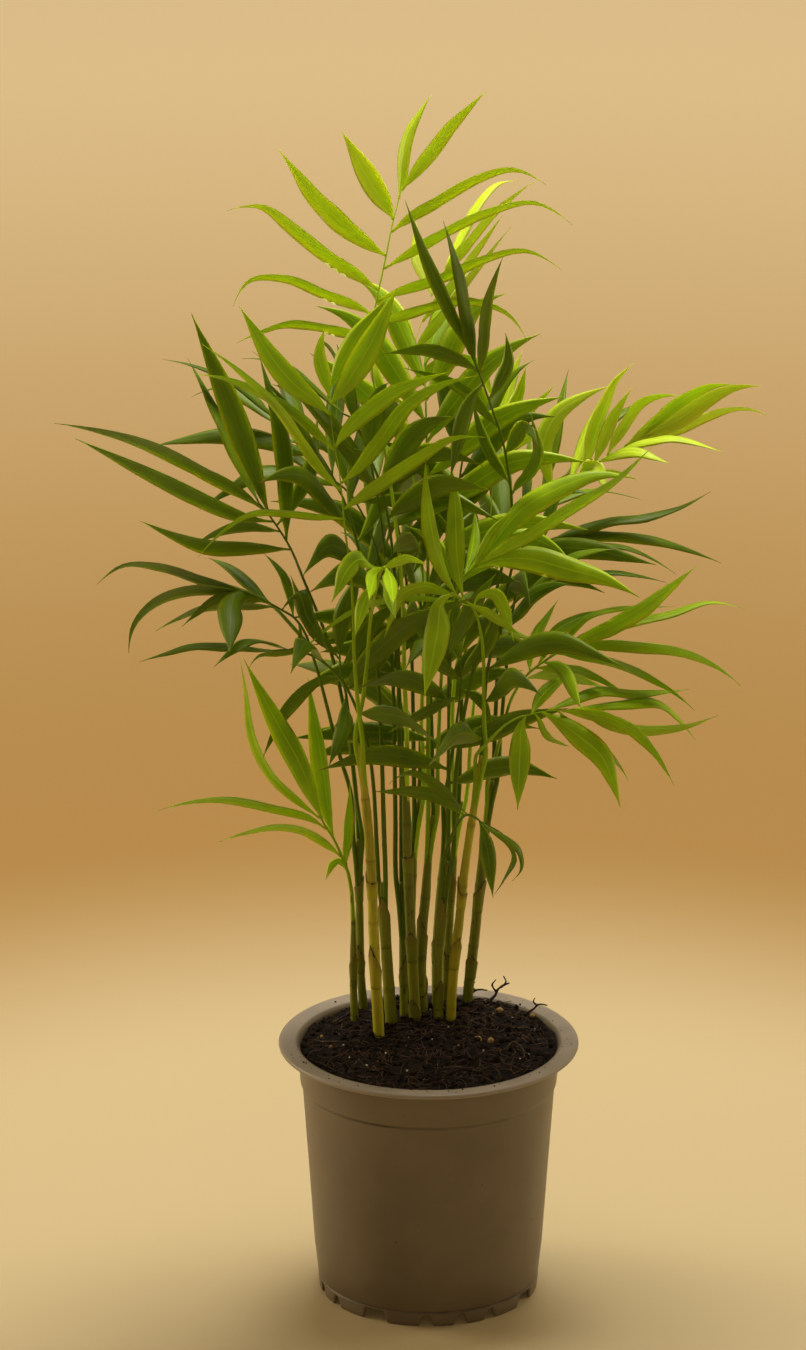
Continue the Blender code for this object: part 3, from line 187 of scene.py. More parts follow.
class Shape:
    """A mesh in the making: corners, faces and the numbers that its material reads."""

    def __init__(self):
        self.points = []
        self.faces = []
        self.numbers = {}

    def add(self, points, faces, **numbers):
        first = len(self.points)
        self.points += points
        self.faces += [tuple(first + k for k in face) for face in faces]
        for key, values in numbers.items():
            values = values if isinstance(values, list) else [values] * len(points)
            self.numbers.setdefault(key, []).extend(values)

    def make(self, name, material, nodes=(), smooth=True):
        """The finished piece, riding on the plant's one body."""
        mesh = bpy.data.meshes.new(name)
        mesh.from_pydata(self.points, [], self.faces)
        for key, values in self.numbers.items():
            mesh.attributes.new(key, "FLOAT", "POINT").data.foreach_set("value", values)
        work = bmesh.new()
        work.from_mesh(mesh)
        bmesh.ops.recalc_face_normals(work, faces=work.faces)
        for face in work.faces:
            face.smooth = smooth
        work.to_mesh(mesh)
        work.free()
        mesh.materials.append(material)
        piece = bpy.data.objects.new(name, mesh)
        bpy.context.scene.collection.objects.link(piece)
        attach(piece, "root")
        if nodes:
            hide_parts(*nodes)
        return piece


class Line:
    """A smooth line through a few points, measured from 0 to 1."""

    def __init__(self, points):
        self.points = points
        self.marks = [0.0]
        for p, q in zip(points, points[1:]):
            self.marks.append(self.marks[-1] + max((q - p).length, 1e-6))
        self.length = self.marks[-1]
        slopes = [(q - p) / (n - m) for p, q, m, n in zip(points, points[1:], self.marks, self.marks[1:])]
        self.slopes = [slopes[0]]
        for k in range(1, len(points) - 1):
            before = self.marks[k] - self.marks[k - 1]
            after = self.marks[k + 1] - self.marks[k]
            self.slopes.append((slopes[k - 1] * after + slopes[k] * before) / (before + after))
        self.slopes.append(slopes[-1])
        if len(points) > 2:
            self.slopes[0] = 1.5 * slopes[0] - 0.5 * self.slopes[1]
            self.slopes[-1] = 1.5 * slopes[-1] - 0.5 * self.slopes[-2]

    def piece(self, share):
        """Which stretch a share lies on, and how far along that stretch."""
        mark = min(max(share, 0.0), 1.0) * self.length
        for k in range(len(self.points) - 1):
            if mark <= self.marks[k + 1] or k == len(self.points) - 2:
                return k, (mark - self.marks[k]) / (self.marks[k + 1] - self.marks[k])

    def point(self, share):
        k, t = self.piece(share)
        p, q = self.points[k], self.points[k + 1]
        span = self.marks[k + 1] - self.marks[k]
        a, b = self.slopes[k] * span, self.slopes[k + 1] * span
        return p + a * t + (3 * (q - p) - 2 * a - b) * t * t + (2 * (p - q) + a + b) * t * t * t

    def direction(self, share):
        return (self.point(min(share + 0.01, 1)) - self.point(max(share - 0.01, 0))).normalized()


def square_to(direction, hint):
    """The part of hint at right angles to a direction, with length 1."""
    return (hint - direction * hint.dot(direction)).normalized()


def ring_quads(first, second, count):
    """The quads between two rings of corners."""
    return [(first + k, first + (k + 1) % count, second + (k + 1) % count, second + k) for k in range(count)]


def tube(line, radius, sides, rings, wobble=0.0, seed=0):
    """Corners and faces of a closed tube, with the share along it at each corner."""
    points, faces, shares = [], [], []
    front = square_to(line.direction(0), Vector((0.3, -1, 0.2)))
    for k in range(rings + 1):
        share = k / rings
        ahead = line.direction(share)
        front = square_to(ahead, front)
        right = ahead.cross(front)
        middle = line.point(share)
        for j in range(sides):
            turn = 2 * math.pi * j / sides
            out = front * math.cos(turn) + right * math.sin(turn)
            uneven = 1 + wobble * noise.noise(Vector((turn, share * 9, seed)))
            points.append(middle + out * radius(share) * uneven)
            shares.append(share)
        if k:
            faces += ring_quads(sides * (k - 1), sides * k, sides)
    faces.append(tuple(range(sides)))
    faces.append(tuple(range(sides * rings, sides * (rings + 1))))
    return points, faces, shares


# Reading the CAD nodes.


def near(corner, barred=()):
    """The corners joined to one by an edge, but for those barred."""
    return [edge.other_vert(corner) for edge in corner.link_edges if edge.other_vert(corner) not in barred]


def layers_from(start, barred, most):
    """The corners in layers, each one edge further from the first layer."""
    layers, seen = [list(start)], set(start) | set(barred)
    while len(layers) <= most:
        following = []
        for corner in layers[-1]:
            for other in near(corner, seen):
                seen.add(other)
                following.append(other)
        if not following:
            break
        layers.append(following)
    return layers


def middle_of(corners):
    total = Vector()
    for corner in corners:
        total += corner.co
    return total / len(corners)


def half_width_of(corners):
    """From the middle of a flat section's four corners to one of its two thin ends."""
    first = corners[0]
    partner = min(corners[1:], key=lambda other: (other.co - first.co).length)
    others = [corner for corner in corners if corner is not first and corner is not partner]
    return (middle_of([first, partner]) - middle_of(others)) / 2


def foot_ring(work, barred):
    """The four corners of the square end at a rib's foot."""
    best, lowest = None, 1e9
    for face in work.faces:
        if any(corner in barred for corner in face.verts):
            continue
        short, middle, long = sorted(face.edges, key=lambda edge: edge.calc_length())
        alike = middle.calc_length() < 1.03 * short.calc_length()
        square = abs(long.calc_length() - math.sqrt(2) * short.calc_length()) < 0.03 * long.calc_length()
        height = face.calc_center_median().z
        if alike and square and height < lowest:
            best, lowest = long, height
    return list(dict.fromkeys(corner for face in best.link_faces for corner in face.verts))


def read_frond(node):
    """A CAD frond as its rib's points and radii, and each leaflet's points and half widths."""
    work = bmesh.new()
    work.from_mesh(frame["nodes"][node].data)
    bmesh.ops.remove_doubles(work, verts=work.verts, dist=WELD)
    tips = [v for v in work.verts if sum(loop.calc_angle() for loop in v.link_loops) < TIP_ANGLE]
    leaflets, blades = [], set()
    for tip in tips:
        layers = layers_from([tip], (), LEAFLET_SECTIONS + 1)
        sections = layers[1:-1]
        blades.update(corner for layer in layers[:-1] for corner in layer)
        points = [middle_of(layers[-1])] + [middle_of(s) for s in reversed(sections)] + [tip.co.copy()]
        widths = [half_width_of(section) for section in reversed(sections)]
        leaflets.append((points, widths))
    layers = layers_from(foot_ring(work, blades), blades, 1000)
    rib = [middle_of(layer) for layer in layers]
    radii = [(layers[k][0].co - rib[k]).length * 0.8 for k in (0, -1)]
    work.free()
    return rib, radii, leaflets


def read_cane(node):
    """A CAD cane's centre line and the radii of its foot and its top."""
    mesh = frame["nodes"][node].data
    corners = sorted({tuple(round(c, 6) for c in v.co) for v in mesh.vertices}, key=lambda c: c[2])
    rings = [[Vector(c) for c in corners[k : k + CANE_SIDES]] for k in range(0, len(corners), CANE_SIDES)]
    middles = [sum(ring, Vector()) / len(ring) for ring in rings]
    return Line(middles), (rings[0][0] - middles[0]).length, (rings[-1][0] - middles[-1]).length


# Leaflets and fronds.


def leaf_outline(share):
    """Half width of a leaflet against its widest: a narrow foot and a long drawn-out tip."""
    return math.sin(math.pi * min(share, 0.999) ** 0.83) ** 1.25


def cad_outline(share):
    """Half width of a CAD leaflet against its widest."""
    return math.sin(math.pi * share**0.8) ** 0.75


def add_leaflet(shape, points, widths, rib_middle, chance):
    """Draws one leaflet into a frond: a thin folded blade with a raised midrib."""
    points = [points[0].lerp(rib_middle, 0.6)] + points[1:]
    line = Line(points)
    widest = LEAF_SLIM * max(w.length / cad_outline(s) for w, s in zip(widths, CAD_SHARES))
    sides = [widths[0].normalized()]
    for width in widths:
        side = width.normalized()
        sides.append(side if side.dot(sides[-1]) > 0 else -side)
    sides.append(sides[-1].copy())
    places = (0.0, *CAD_SHARES, 1.0)
    middle = line.direction(0.5).cross(sides[2])
    flip = -1 if middle.z < 0 else 1
    fold = chance.uniform(0.12, 0.3)
    wave, phase, size = chance.uniform(1.5, 3.5), chance.uniform(0, 6.3), chance.uniform(0.02, 0.07)
    rings, numbers = [], {"along": [], "across": [], "under": []}
    for k in range(LEAF_RINGS + 1):
        share = (k / LEAF_RINGS) ** 1.05
        ahead = line.direction(share)
        side = flip * sides_at(places, sides, share)
        side = square_to(ahead, side)
        up = ahead.cross(side)
        half = max(widest * leaf_outline(share), 0.45 * MM * (1 - share) + 0.1 * MM)
        drop = fold * (1 + 1.2 * (1 - share) ** 3)
        ring = []
        for j in range(LEAF_ACROSS):
            u = 2 * j / (LEAF_ACROSS - 1) - 1
            ripple = size * abs(u) ** 2 * math.sin(wave * 2 * math.pi * share + phase + (1 if u > 0 else 0))
            lower = -abs(u) * drop + 0.1 * math.sin(math.pi * abs(u)) + ripple
            ring.append((u, line.point(share) + side * u * half + up * half * lower))
        thick = [LEAF_MIDDLE + (LEAF_EDGE - LEAF_MIDDLE) * abs(u) ** 0.6 for u, _ in ring]
        thick = [t * (0.35 + 0.65 * min(1.0, half / (1.2 * MM))) for t in thick]
        back = range(LEAF_ACROSS - 2, 0, -1)
        rings.append([p for _, p in ring] + [ring[j][1] - up * thick[j] for j in back])
        numbers["along"] += [share] * (2 * LEAF_ACROSS - 2)
        numbers["across"] += [u for u, _ in ring] + [ring[j][0] for j in back]
        numbers["under"] += [0.0] * LEAF_ACROSS + [1.0] * (LEAF_ACROSS - 2)
    around = 2 * LEAF_ACROSS - 2
    faces = [quad for k in range(LEAF_RINGS) for quad in ring_quads(around * k, around * (k + 1), around)]
    faces.append(tuple(range(around)))
    faces.append(tuple(range(around * LEAF_RINGS, around * (LEAF_RINGS + 1))))
    corners = [p for ring in rings for p in ring]
    tone, width = chance.uniform(-1, 1), widest / (5 * MM)
    shape.add(corners, faces, tone=tone, width=width, stem=0.0, **numbers)


def sides_at(places, sides, share):
    for k in range(len(places) - 1):
        if share <= places[k + 1]:
            t = (share - places[k]) / (places[k + 1] - places[k])
            return sides[k].lerp(sides[k + 1], t)
    return sides[-1]


def rooted(rib, canes):
    """A frond's rib with its foot carried on down inside the cane that it stands on."""
    cane = min(canes, key=lambda line: (line.points[-1] - rib[0]).length)
    off = rib[0] - cane.points[-1]
    off -= UP * off.z
    below = []
    for share in (1.0, 0.66, 0.33):
        along = 1 - share * STALK_ROOT / cane.length
        below.append(cane.point(along) + off * (1 - share) * 0.8)
    return below + rib


def build_frond(node, material, canes, chance):
    """One frond: its stalk and rib as a tapering tube, and its leaflets."""
    rib, radii, leaflets = read_frond(node)
    shape = Shape()
    line = Line(rooted(rib, canes))

    def radius(share):
        return radii[0] * 1.15 + (radii[1] * 0.7 - radii[0] * 1.15) * share

    points, faces, shares = tube(line, radius, 8, 60, wobble=0.05)
    shape.add(points, faces, along=shares, across=0.0, under=0.0, tone=0.0, width=0.3, stem=1.0)
    for points, widths in leaflets:
        points[-1] = points[-1].lerp(points[-2], TIP_INSET)
        root = min(rib, key=lambda p: (p - points[0]).length)
        add_leaflet(shape, points, widths, root, chance)
    return shape.make(node + "_leaf", material, [node])


# Materials.


def leaf_paint(name, light, dark, glow, brown):
    """Leaf: long fine veins, a pale midrib, mottled green and, on old leaves, brown tips."""
    paint = Paint(name, Roughness=0.42, Subsurface_Weight=glow, Subsurface_Scale=0.0012)
    paint.shader.inputs["Subsurface Radius"].default_value = (0.8, 1.0, 0.15)
    paint.shader.inputs["Specular IOR Level"].default_value = 0.2
    along, across = paint.number("along"), paint.number("across")
    tone, under = paint.number("tone"), paint.number("under")
    stem, width = paint.number("stem"), paint.number("width")
    over = paint.sums("MULTIPLY", across, width)
    lane = paint.combine(paint.sums("MULTIPLY", over, 9.0), paint.sums("MULTIPLY", along, 1.3), tone)
    veins = paint.noise(lane, 2.2, 4.0, 0.65)
    patches = paint.noise(paint.place(), 55.0, 3.0)
    share = paint.sums("MULTIPLY_ADD", tone, 0.28)
    share.node.inputs[2].default_value = 0.5
    share = paint.sums("ADD", share, paint.span(patches, 0.3, 0.7, -0.3, 0.3), clamp=True)
    colour = paint.mix(share, dark, light)
    streak = paint.span(veins, 0.3, 0.7, 0.0, 1.0)
    colour = paint.mix(paint.sums("MULTIPLY", streak, 0.3), colour, light)
    middle = paint.span(paint.sums("ABSOLUTE", over), 0.02, 0.09, 0.5, 0.0)
    colour = paint.mix(middle, colour, [min(1, c * 1.4) for c in light])
    colour = paint.mix(paint.sums("MULTIPLY", under, 0.35), colour, [c * 0.8 + 0.01 for c in light])
    foot = paint.span(along, 0.0, 0.25, 0.4, 0.0)
    colour = paint.mix(foot, colour, light)
    if brown > 0:
        ragged = paint.sums("ADD", along, paint.span(patches, 0.2, 0.8, -0.05, 0.05))
        tip = paint.span(ragged, 0.95, 0.985, 0.0, brown)
        picked = paint.span(paint.sums("FRACT", paint.sums("MULTIPLY", tone, 7.3)), 0.4, 0.5)
        colour = paint.mix(paint.sums("MULTIPLY", tip, picked), colour, (0.16, 0.07, 0.02))
    colour = paint.mix(stem, colour, [0.6 * a + 0.4 * b for a, b in zip(light, dark)])
    height = paint.sums("ADD", veins, paint.sums("MULTIPLY", middle, -0.6))
    rough = paint.span(veins, 0.2, 0.8, 0.36, 0.5)
    return paint.finish(colour, rough, paint.bump(height, 0.35, 0.12 * MM))


def cane_paint(name, low, high, mark):
    """Cane: fine lengthwise fibres, greener or yellower with height, and dark rings."""
    paint = Paint(name, Roughness=0.4, Subsurface_Weight=0.2, Subsurface_Scale=0.002)
    paint.shader.inputs["Subsurface Radius"].default_value = (0.8, 1.0, 0.2)
    paint.shader.inputs["Specular IOR Level"].default_value = 0.35
    along, ring = paint.number("along"), paint.number("ring")
    where = paint.place((1, 1, 0.06))
    fibres = paint.noise(where, 900.0, 4.0, 0.6)
    blotches = paint.noise(paint.place((1, 1, 0.35)), 60.0, 4.0)
    colour = paint.mix(paint.span(along, 0.0, 0.9), low, high)
    colour = paint.mix(paint.span(blotches, 0.4, 0.68, 0.0, 0.7), colour, [c * 0.5 for c in high])
    colour = paint.mix(paint.span(fibres, 0.3, 0.7, 0.0, 0.3), colour, [min(1, c * 1.5) for c in low])
    specks = paint.spots(paint.place((1, 1, 0.4)), 420.0)
    picked = paint.noise(paint.place(), 160.0)
    dots = paint.sums("MULTIPLY", paint.span(specks, 0.16, 0.26, 1.0, 0.0), paint.span(picked, 0.56, 0.64))
    colour = paint.mix(paint.sums("MULTIPLY", dots, 0.7), colour, mark)
    colour = paint.mix(paint.sums("MULTIPLY", ring, 0.75), colour, mark)
    rough = paint.span(blotches, 0.2, 0.8, 0.33, 0.5)
    return paint.finish(colour, rough, paint.bump(fibres, 0.25, 0.1 * MM))


def sheath_paint():
    """Dry sheath: the green or yellow of its cane, with a thin dark upper edge."""
    paint = Paint("dry_sheath", Roughness=0.6)
    paint.shader.inputs["Specular IOR Level"].default_value = 0.3
    edge = paint.number("edge")
    fibres = paint.noise(paint.place((1, 1, 0.05)), 1100.0, 4.0, 0.6)
    ragged = paint.sums("ADD", edge, paint.span(fibres, 0.2, 0.8, -0.12, 0.12))
    colour = paint.mix(paint.number("yellow"), (0.19, 0.22, 0.013), (0.4, 0.38, 0.02))
    colour = paint.mix(paint.span(ragged, 0.45, 0.95, 0.0, 0.55), colour, (0.21, 0.14, 0.025))
    colour = paint.mix(paint.span(ragged, 0.93, 1.0, 0.0, 0.9), colour, (0.025, 0.011, 0.004))
    return paint.finish(colour, None, paint.bump(fibres, 0.4, 0.12 * MM))


def pot_paint():
    """Taupe plastic, satin, with faint moulding streaks, a few specks of soil and a little dirt on the lip's
    top; painted shade in the collar's step and above the foot, and a painted highlight that makes the lip
    paler.
    """
    paint = Paint("pot_plastic", Roughness=0.42)
    paint.shader.inputs["Specular IOR Level"].default_value = 0.45
    base, pale, grime_and_shade = (0.15, 0.117, 0.075), (0.185, 0.145, 0.095), (0.035, 0.024, 0.015)
    clouds = paint.noise(paint.place(), 22.0, 5.0)
    streaks = paint.noise(paint.place((1, 1, 0.08)), 130.0, 3.0)
    colour = paint.mix(paint.span(clouds, 0.3, 0.7), base, pale)
    colour = paint.mix(paint.span(streaks, 0.4, 0.75, 0.0, 0.12), colour, pale)
    specks = paint.spots(paint.place(), 260.0)
    picked = paint.noise(paint.place(), 90.0, 1.0)
    dots = paint.sums("MULTIPLY", paint.span(specks, 0.07, 0.13, 1.0, 0.0), paint.span(picked, 0.62, 0.68))
    colour = paint.mix(paint.sums("MULTIPLY", dots, 0.8), colour, grime_and_shade)
    # Painted highlight: the lip's top and bead painted a paler grey for the light falling on them.
    colour = paint.mix(paint.sums("MULTIPLY", paint.number("worn"), 0.65), colour, (0.36, 0.32, 0.27))
    # Painted shade: the collar's step and the crease above the foot turn dark in the grime colour; the lip's
    # top gets a little real dirt.
    dirt = paint.sums("MULTIPLY", paint.number("dirt"), paint.span(clouds, 0.35, 0.75, 0.2, 1.0))
    colour = paint.mix(dirt, colour, grime_and_shade)
    fine = paint.noise(paint.place(), 1500.0, 2.0)
    rough = paint.span(clouds, 0.2, 0.8, 0.36, 0.5)
    return paint.finish(colour, rough, paint.bump(fine, 0.12, 0.05 * MM))


def soil_paint(name, dark, light, share):
    """Peaty soil: nearly black with brown crumbs and fibres."""
    paint = Paint(name, Roughness=0.95)
    paint.shader.inputs["Specular IOR Level"].default_value = 0.2
    crumbs = paint.noise(paint.place(), 420.0, 6.0, 0.7)
    patches = paint.noise(paint.place(), 60.0, 4.0)
    colour = paint.mix(paint.span(crumbs, 0.42, 0.7, 0.0, share), dark, light)
    colour = paint.mix(paint.span(patches, 0.4, 0.7, 0.0, 0.5), colour, dark)
    return paint.finish(colour, None, paint.bump(crumbs, 0.9, 0.8 * MM))


def plain_paint(name, first, second, scale, roughness, bumpy=0.3):
    """A mottled matt surface for small bits."""
    paint = Paint(name, Roughness=roughness)
    mottle = paint.noise(paint.place(), scale, 4.0)
    colour = paint.mix(paint.span(mottle, 0.3, 0.7), first, second)
    return paint.finish(colour, None, paint.bump(mottle, bumpy, 0.3 * MM))


# Pot.


def notch_lift(degrees):
    """How high the foot's edge stands at an angle round the pot."""
    lift = 0.0
    for quarter in range(4):
        for place, width, height in NOTCHES:
            middle = QUARTER_START + 90 * quarter + place
            away = abs((degrees - middle + 180) % 360 - 180)
            slope = min(1.0, max(0.0, (width / 2 - away) / NOTCH_SLOPE))
            lift = max(lift, height * MM * slope * slope * (3 - 2 * slope))
    return lift


def arc(middle_r, middle_z, radius, start, end, count):
    """Points (r, z, rides on notches) along an arc of the profile, in degrees."""
    found = []
    for k in range(count + 1):
        turn = math.radians(start + (end - start) * k / count)
        found.append((middle_r + radius * math.cos(turn), middle_z + radius * math.sin(turn), 0.0))
    return found


def pot_profile():
    """The wall's section from the base plate under the foot, up the outside and down inside."""
    lip = RIM_HEIGHT - RIM_THICK
    collar = lip - COLLAR_HEIGHT
    taper = (NECK_RADIUS - FOOT_RADIUS) / lip
    below = FOOT_RADIUS + taper * collar
    inner_foot = FOOT_RADIUS - WALL
    soft = 0.35 * MM
    bead = 1.05 * MM
    top = RIM_HEIGHT - 0.25 * MM
    return [
        (inner_foot, FOOT_HEIGHT, 0.0),
        (inner_foot, 2 * MM, 0.6),
        (inner_foot, soft, 1.0),
        (inner_foot + soft, 0.0, 1.0),
        (FOOT_RADIUS - soft, 0.0, 1.0),
        (FOOT_RADIUS, soft, 1.0),
        (FOOT_RADIUS + 0.2 * MM, 2 * MM, 0.6),
        (FOOT_RADIUS + 0.45 * MM, FOOT_HEIGHT - 0.8 * MM, 0.0),
        (FOOT_RADIUS + 0.4 * MM, FOOT_HEIGHT - 0.45 * MM, 0.0),
        (FOOT_RADIUS + 0.0 * MM, FOOT_HEIGHT - 0.1 * MM, 0.0),
        (FOOT_RADIUS + 0.05 * MM, FOOT_HEIGHT + 0.25 * MM, 0.0),
        (FOOT_RADIUS + 0.5 * MM, FOOT_HEIGHT + 0.8 * MM, 0.0),
        (FOOT_RADIUS + taper * 20 * MM + 0.3 * MM, 20 * MM, 0.0),
        (FOOT_RADIUS + taper * 50 * MM - 0.2 * MM, 50 * MM, 0.0),
        (below - COLLAR_STEP, collar - 1.6 * MM, 0.0),
        (below - COLLAR_STEP + 0.05 * MM, collar - 0.8 * MM, 0.0),
        (below - 0.25 * MM, collar - 0.25 * MM, 0.0),
        (below, collar + 0.2 * MM, 0.0),
        (below + 0.12 * MM, collar + 1.2 * MM, 0.0),
        (NECK_RADIUS - 0.1 * MM, lip - 1.6 * MM, 0.0),
        (NECK_RADIUS + 0.3 * MM, lip - 0.5 * MM, 0.0),
        (NECK_RADIUS + 1.2 * MM, lip, 0.0),
        (RIM_RADIUS - 2.2 * MM, lip + 0.05 * MM, 0.0),
        *arc(RIM_RADIUS - bead, lip + 0.72 * MM, bead, -80, 75, 8),
        (RIM_RADIUS - 2.4 * MM, top - 0.05 * MM, 0.0),
        (NECK_RADIUS + 1.0 * MM, top - 0.45 * MM, 0.0),
        (NECK_RADIUS - 0.2 * MM, top - 0.7 * MM, 0.0),
        (NECK_RADIUS - 1.0 * MM, lip - 0.2 * MM, 0.0),
        (NECK_RADIUS - WALL - 0.3 * MM, lip - 2.0 * MM, 0.0),
        (below - WALL - COLLAR_STEP, collar - 1 * MM, 0.0),
        (inner_foot, FOOT_HEIGHT + PLATE_THICK, 0.0),
    ]


def build_pot():
    """The pot, turned from its section, with notches in the foot ring."""
    profile = pot_profile()
    points, faces, dirt, worn = [], [], [], []
    count = len(profile)
    collar = RIM_HEIGHT - RIM_THICK - COLLAR_HEIGHT
    for j in range(POT_COLUMNS):
        degrees = 360 * j / POT_COLUMNS
        turn = math.radians(degrees)
        lift = notch_lift(degrees)
        for radius, height, share in profile:
            points.append(Vector((radius * math.sin(turn), -radius * math.cos(turn), height + lift * share)))
            spread = noise.noise(Vector((math.sin(turn) * 6, math.cos(turn) * 6, height * 300)))
            # Painted shade in the collar's step and the crease above the foot, and a little real dirt on the
            # lip's top.
            on_top = height > RIM_HEIGHT - 1 * MM and radius < RIM_RADIUS - 1.5 * MM
            in_step = abs(height - collar + 0.7 * MM) < 0.5 * MM
            low = in_step or FOOT_HEIGHT - 0.6 * MM < height < FOOT_HEIGHT + 0.4 * MM
            shade_and_dirt_level = 0.85 if low else 0.15 if on_top else 0.0
            # Painted highlight: the lip's upper faces get the paler grey.
            worn.append(1.0 if height > RIM_HEIGHT - RIM_THICK and radius > NECK_RADIUS else 0.0)
            dirt.append(max(0.0, shade_and_dirt_level + 0.5 * spread * (on_top or low)))
        after = (j + 1) % POT_COLUMNS * count
        for k in range(count - 1):
            faces.append((j * count + k, j * count + k + 1, after + k + 1, after + k))
    under, over = len(points), len(points) + 1
    points += [Vector((0, 0, FOOT_HEIGHT)), Vector((0, 0, FOOT_HEIGHT + PLATE_THICK))]
    dirt += [0.0, 0.0]
    worn += [0.0, 0.0]
    for j in range(POT_COLUMNS):
        here, after = j * count, (j + 1) % POT_COLUMNS * count
        faces.append((here, after, under))
        faces.append((here + count - 1, after + count - 1, over))
    shape = Shape()
    shape.add(points, faces, dirt=dirt, worn=worn)
    shape.make("nursery_pot", pot_paint(), ["pot"])


# Soil.


def soil_height(x, y):
    """Height of the soil's top with its lumps: domed, and highest at the back right."""
    out = min(1.0, math.hypot(x, y) / NECK_RADIUS)
    level = SOIL_EDGE + SOIL_DOME * (1 - out * out) + SOIL_TILT * (x + y)
    place = Vector((x, y, 0.37)) / CM
    lumps = noise.fractal(place * 0.9, 1.0, 2.0, 5)
    crumbs = noise.noise(place * 5.5)
    return level + 1.5 * MM * lumps + 0.45 * MM * crumbs


def build_soil():
    """The soil's lumpy top, closed by a plain side and bottom that the pot hides."""
    steps = round(SOIL_RADIUS / SOIL_STEP)
    points, faces = [Vector((0, 0, soil_height(0, 0)))], []
    rings = [range(1)]
    for k in range(1, steps + 1):
        radius = SOIL_RADIUS * k / steps
        around = 6 * k
        first = len(points)
        for j in range(around):
            turn = 2 * math.pi * j / around
            x, y = radius * math.cos(turn), radius * math.sin(turn)
            points.append(Vector((x, y, soil_height(x, y))))
        rings.append(range(first, first + around))
    for inner, outer in zip(rings, rings[1:]):
        faces += fan_between(inner, outer)
    rim = rings[-1]
    low = POT_LOW.z + FOOT_HEIGHT + PLATE_THICK + 0.3 * MM
    foot = len(points)
    share = (FOOT_RADIUS - WALL - 4 * MM) / SOIL_RADIUS
    for k in rim:
        points.append(Vector((points[k].x * share, points[k].y * share, low)))
    points.append(Vector((0, 0, low)))
    for j in range(len(rim)):
        following = (j + 1) % len(rim)
        faces.append((rim[j], rim[following], foot + following, foot + j))
        faces.append((foot + j, foot + following, len(points) - 1))
    shape = Shape()
    shape.add(points, faces)
    paint = soil_paint("peat", (0.0035, 0.0022, 0.0014), (0.03, 0.015, 0.007), 0.8)
    shape.make("soil_top", paint, ["soil"])


def fan_between(inner, outer):
    """Triangles between a ring of corners and the next one, which has six more."""
    faces, i, o = [], 0, 0
    m, n = len(inner), len(outer)
    while i < m or o < n:
        if o * m <= i * n or i >= m:
            faces.append((inner[i % m], outer[o % n], outer[(o + 1) % n]))
            o += 1
        else:
            faces.append((inner[i % m], outer[o % n], inner[(i + 1) % m]))
            i += 1
    return [face for face in faces if len(set(face)) == 3]


def crumb(middle, size, chance):
    """A small uneven lump."""
    work = bmesh.new()
    bmesh.ops.create_icosphere(work, subdivisions=1, radius=1)
    stretch = Vector([chance.uniform(0.6, 1.2) for _ in range(3)])
    seed = Vector([chance.uniform(0, 50) for _ in range(3)])
    points = []
    for v in work.verts:
        bulge = 1 + 0.35 * noise.noise(v.co * 1.3 + seed)
        points.append(middle + Vector([v.co[k] * stretch[k] for k in range(3)]) * size * bulge)
    faces = [tuple(v.index for v in face.verts) for face in work.faces]
    work.free()
    return points, faces


def soil_place(chance, most=0.98):
    radius = SOIL_RADIUS * most * math.sqrt(chance.random())
    turn = chance.uniform(0, 2 * math.pi)
    return radius * math.cos(turn), radius * math.sin(turn)


def build_crumbs(chance):
    """Loose crumbs of peat all over the soil."""
    shape = Shape()
    for _ in range(CRUMB_COUNT):
        x, y = soil_place(chance)
        size = 0.5 * MM + 1.3 * MM * chance.random() ** 3
        shape.add(*crumb(Vector((x, y, soil_height(x, y) + size * 0.3)), size, chance))
    paint = soil_paint("peat_crumbs", (0.005, 0.003, 0.0018), (0.05, 0.024, 0.011), 0.9)
    shape.make("soil_crumbs", paint)


def build_fibres(chance):
    """Short brown fibres lying on the soil."""
    shape = Shape()
    for _ in range(FIBRE_COUNT):
        x, y = soil_place(chance, 0.96)
        turn, length = chance.uniform(0, 2 * math.pi), chance.uniform(3, 11) * MM
        bend, lift = chance.uniform(-0.9, 0.9), chance.uniform(0.0, 1.6) * MM
        spots = []
        for t in (-0.5, -0.17, 0.17, 0.5):
            angle = turn + bend * t
            px, py = x + math.cos(angle) * length * t, y + math.sin(angle) * length * t
            if math.hypot(px, py) > SOIL_RADIUS * 0.99:
                break
            spots.append(Vector((px, py, soil_height(px, py) + 0.3 * MM + lift * (t + 0.5))))
        if len(spots) < 4:
            continue
        thick = chance.uniform(0.08, 0.22) * MM
        points, faces, _ = tube(Line(spots), lambda share: thick, 4, 6)
        shape.add(points, faces)
    paint = plain_paint("peat_fibre", (0.022, 0.01, 0.004), (0.09, 0.045, 0.02), 300.0, 0.9)
    shape.make("soil_fibres", paint)


# Small things on the soil: place across and back in centimetres, and size in millimetres.
PERLITE = [(-1.7, -1.3, 0.55), (-2.45, -2.5, 0.5), (-0.85, -3.1, 0.7), (0.8, 1.2, 0.6), (1.2, -0.4, 0.5),
           (2.8, -1.5, 0.7), (4.3, 1.3, 0.5), (-3.4, -0.6, 0.5), (3.4, 2.2, 0.5), (0.2, -4.2, 0.45)]
TAN_BITS = [(2.0, -0.2, 1.5), (2.5, -0.4, 1.7), (4.2, 2.6, 1.2), (2.9, 2.7, 1.4),
            (-4.3, 0.9, 1.0), (-3.9, -0.5, 0.8)]


def build_perlite(chance):
    """White grains of perlite."""
    shape = Shape()
    for x, y, size in PERLITE + [(*(c / CM for c in soil_place(chance, 0.93)), 0.4) for _ in range(16)]:
        x, y, size = x * CM, y * CM, size * MM
        shape.add(*crumb(Vector((x, y, soil_height(x, y) + size * 0.5)), size, chance))
    paint = plain_paint("perlite_grain", (0.62, 0.56, 0.45), (0.85, 0.8, 0.7), 900.0, 0.8)
    shape.make("perlite", paint)


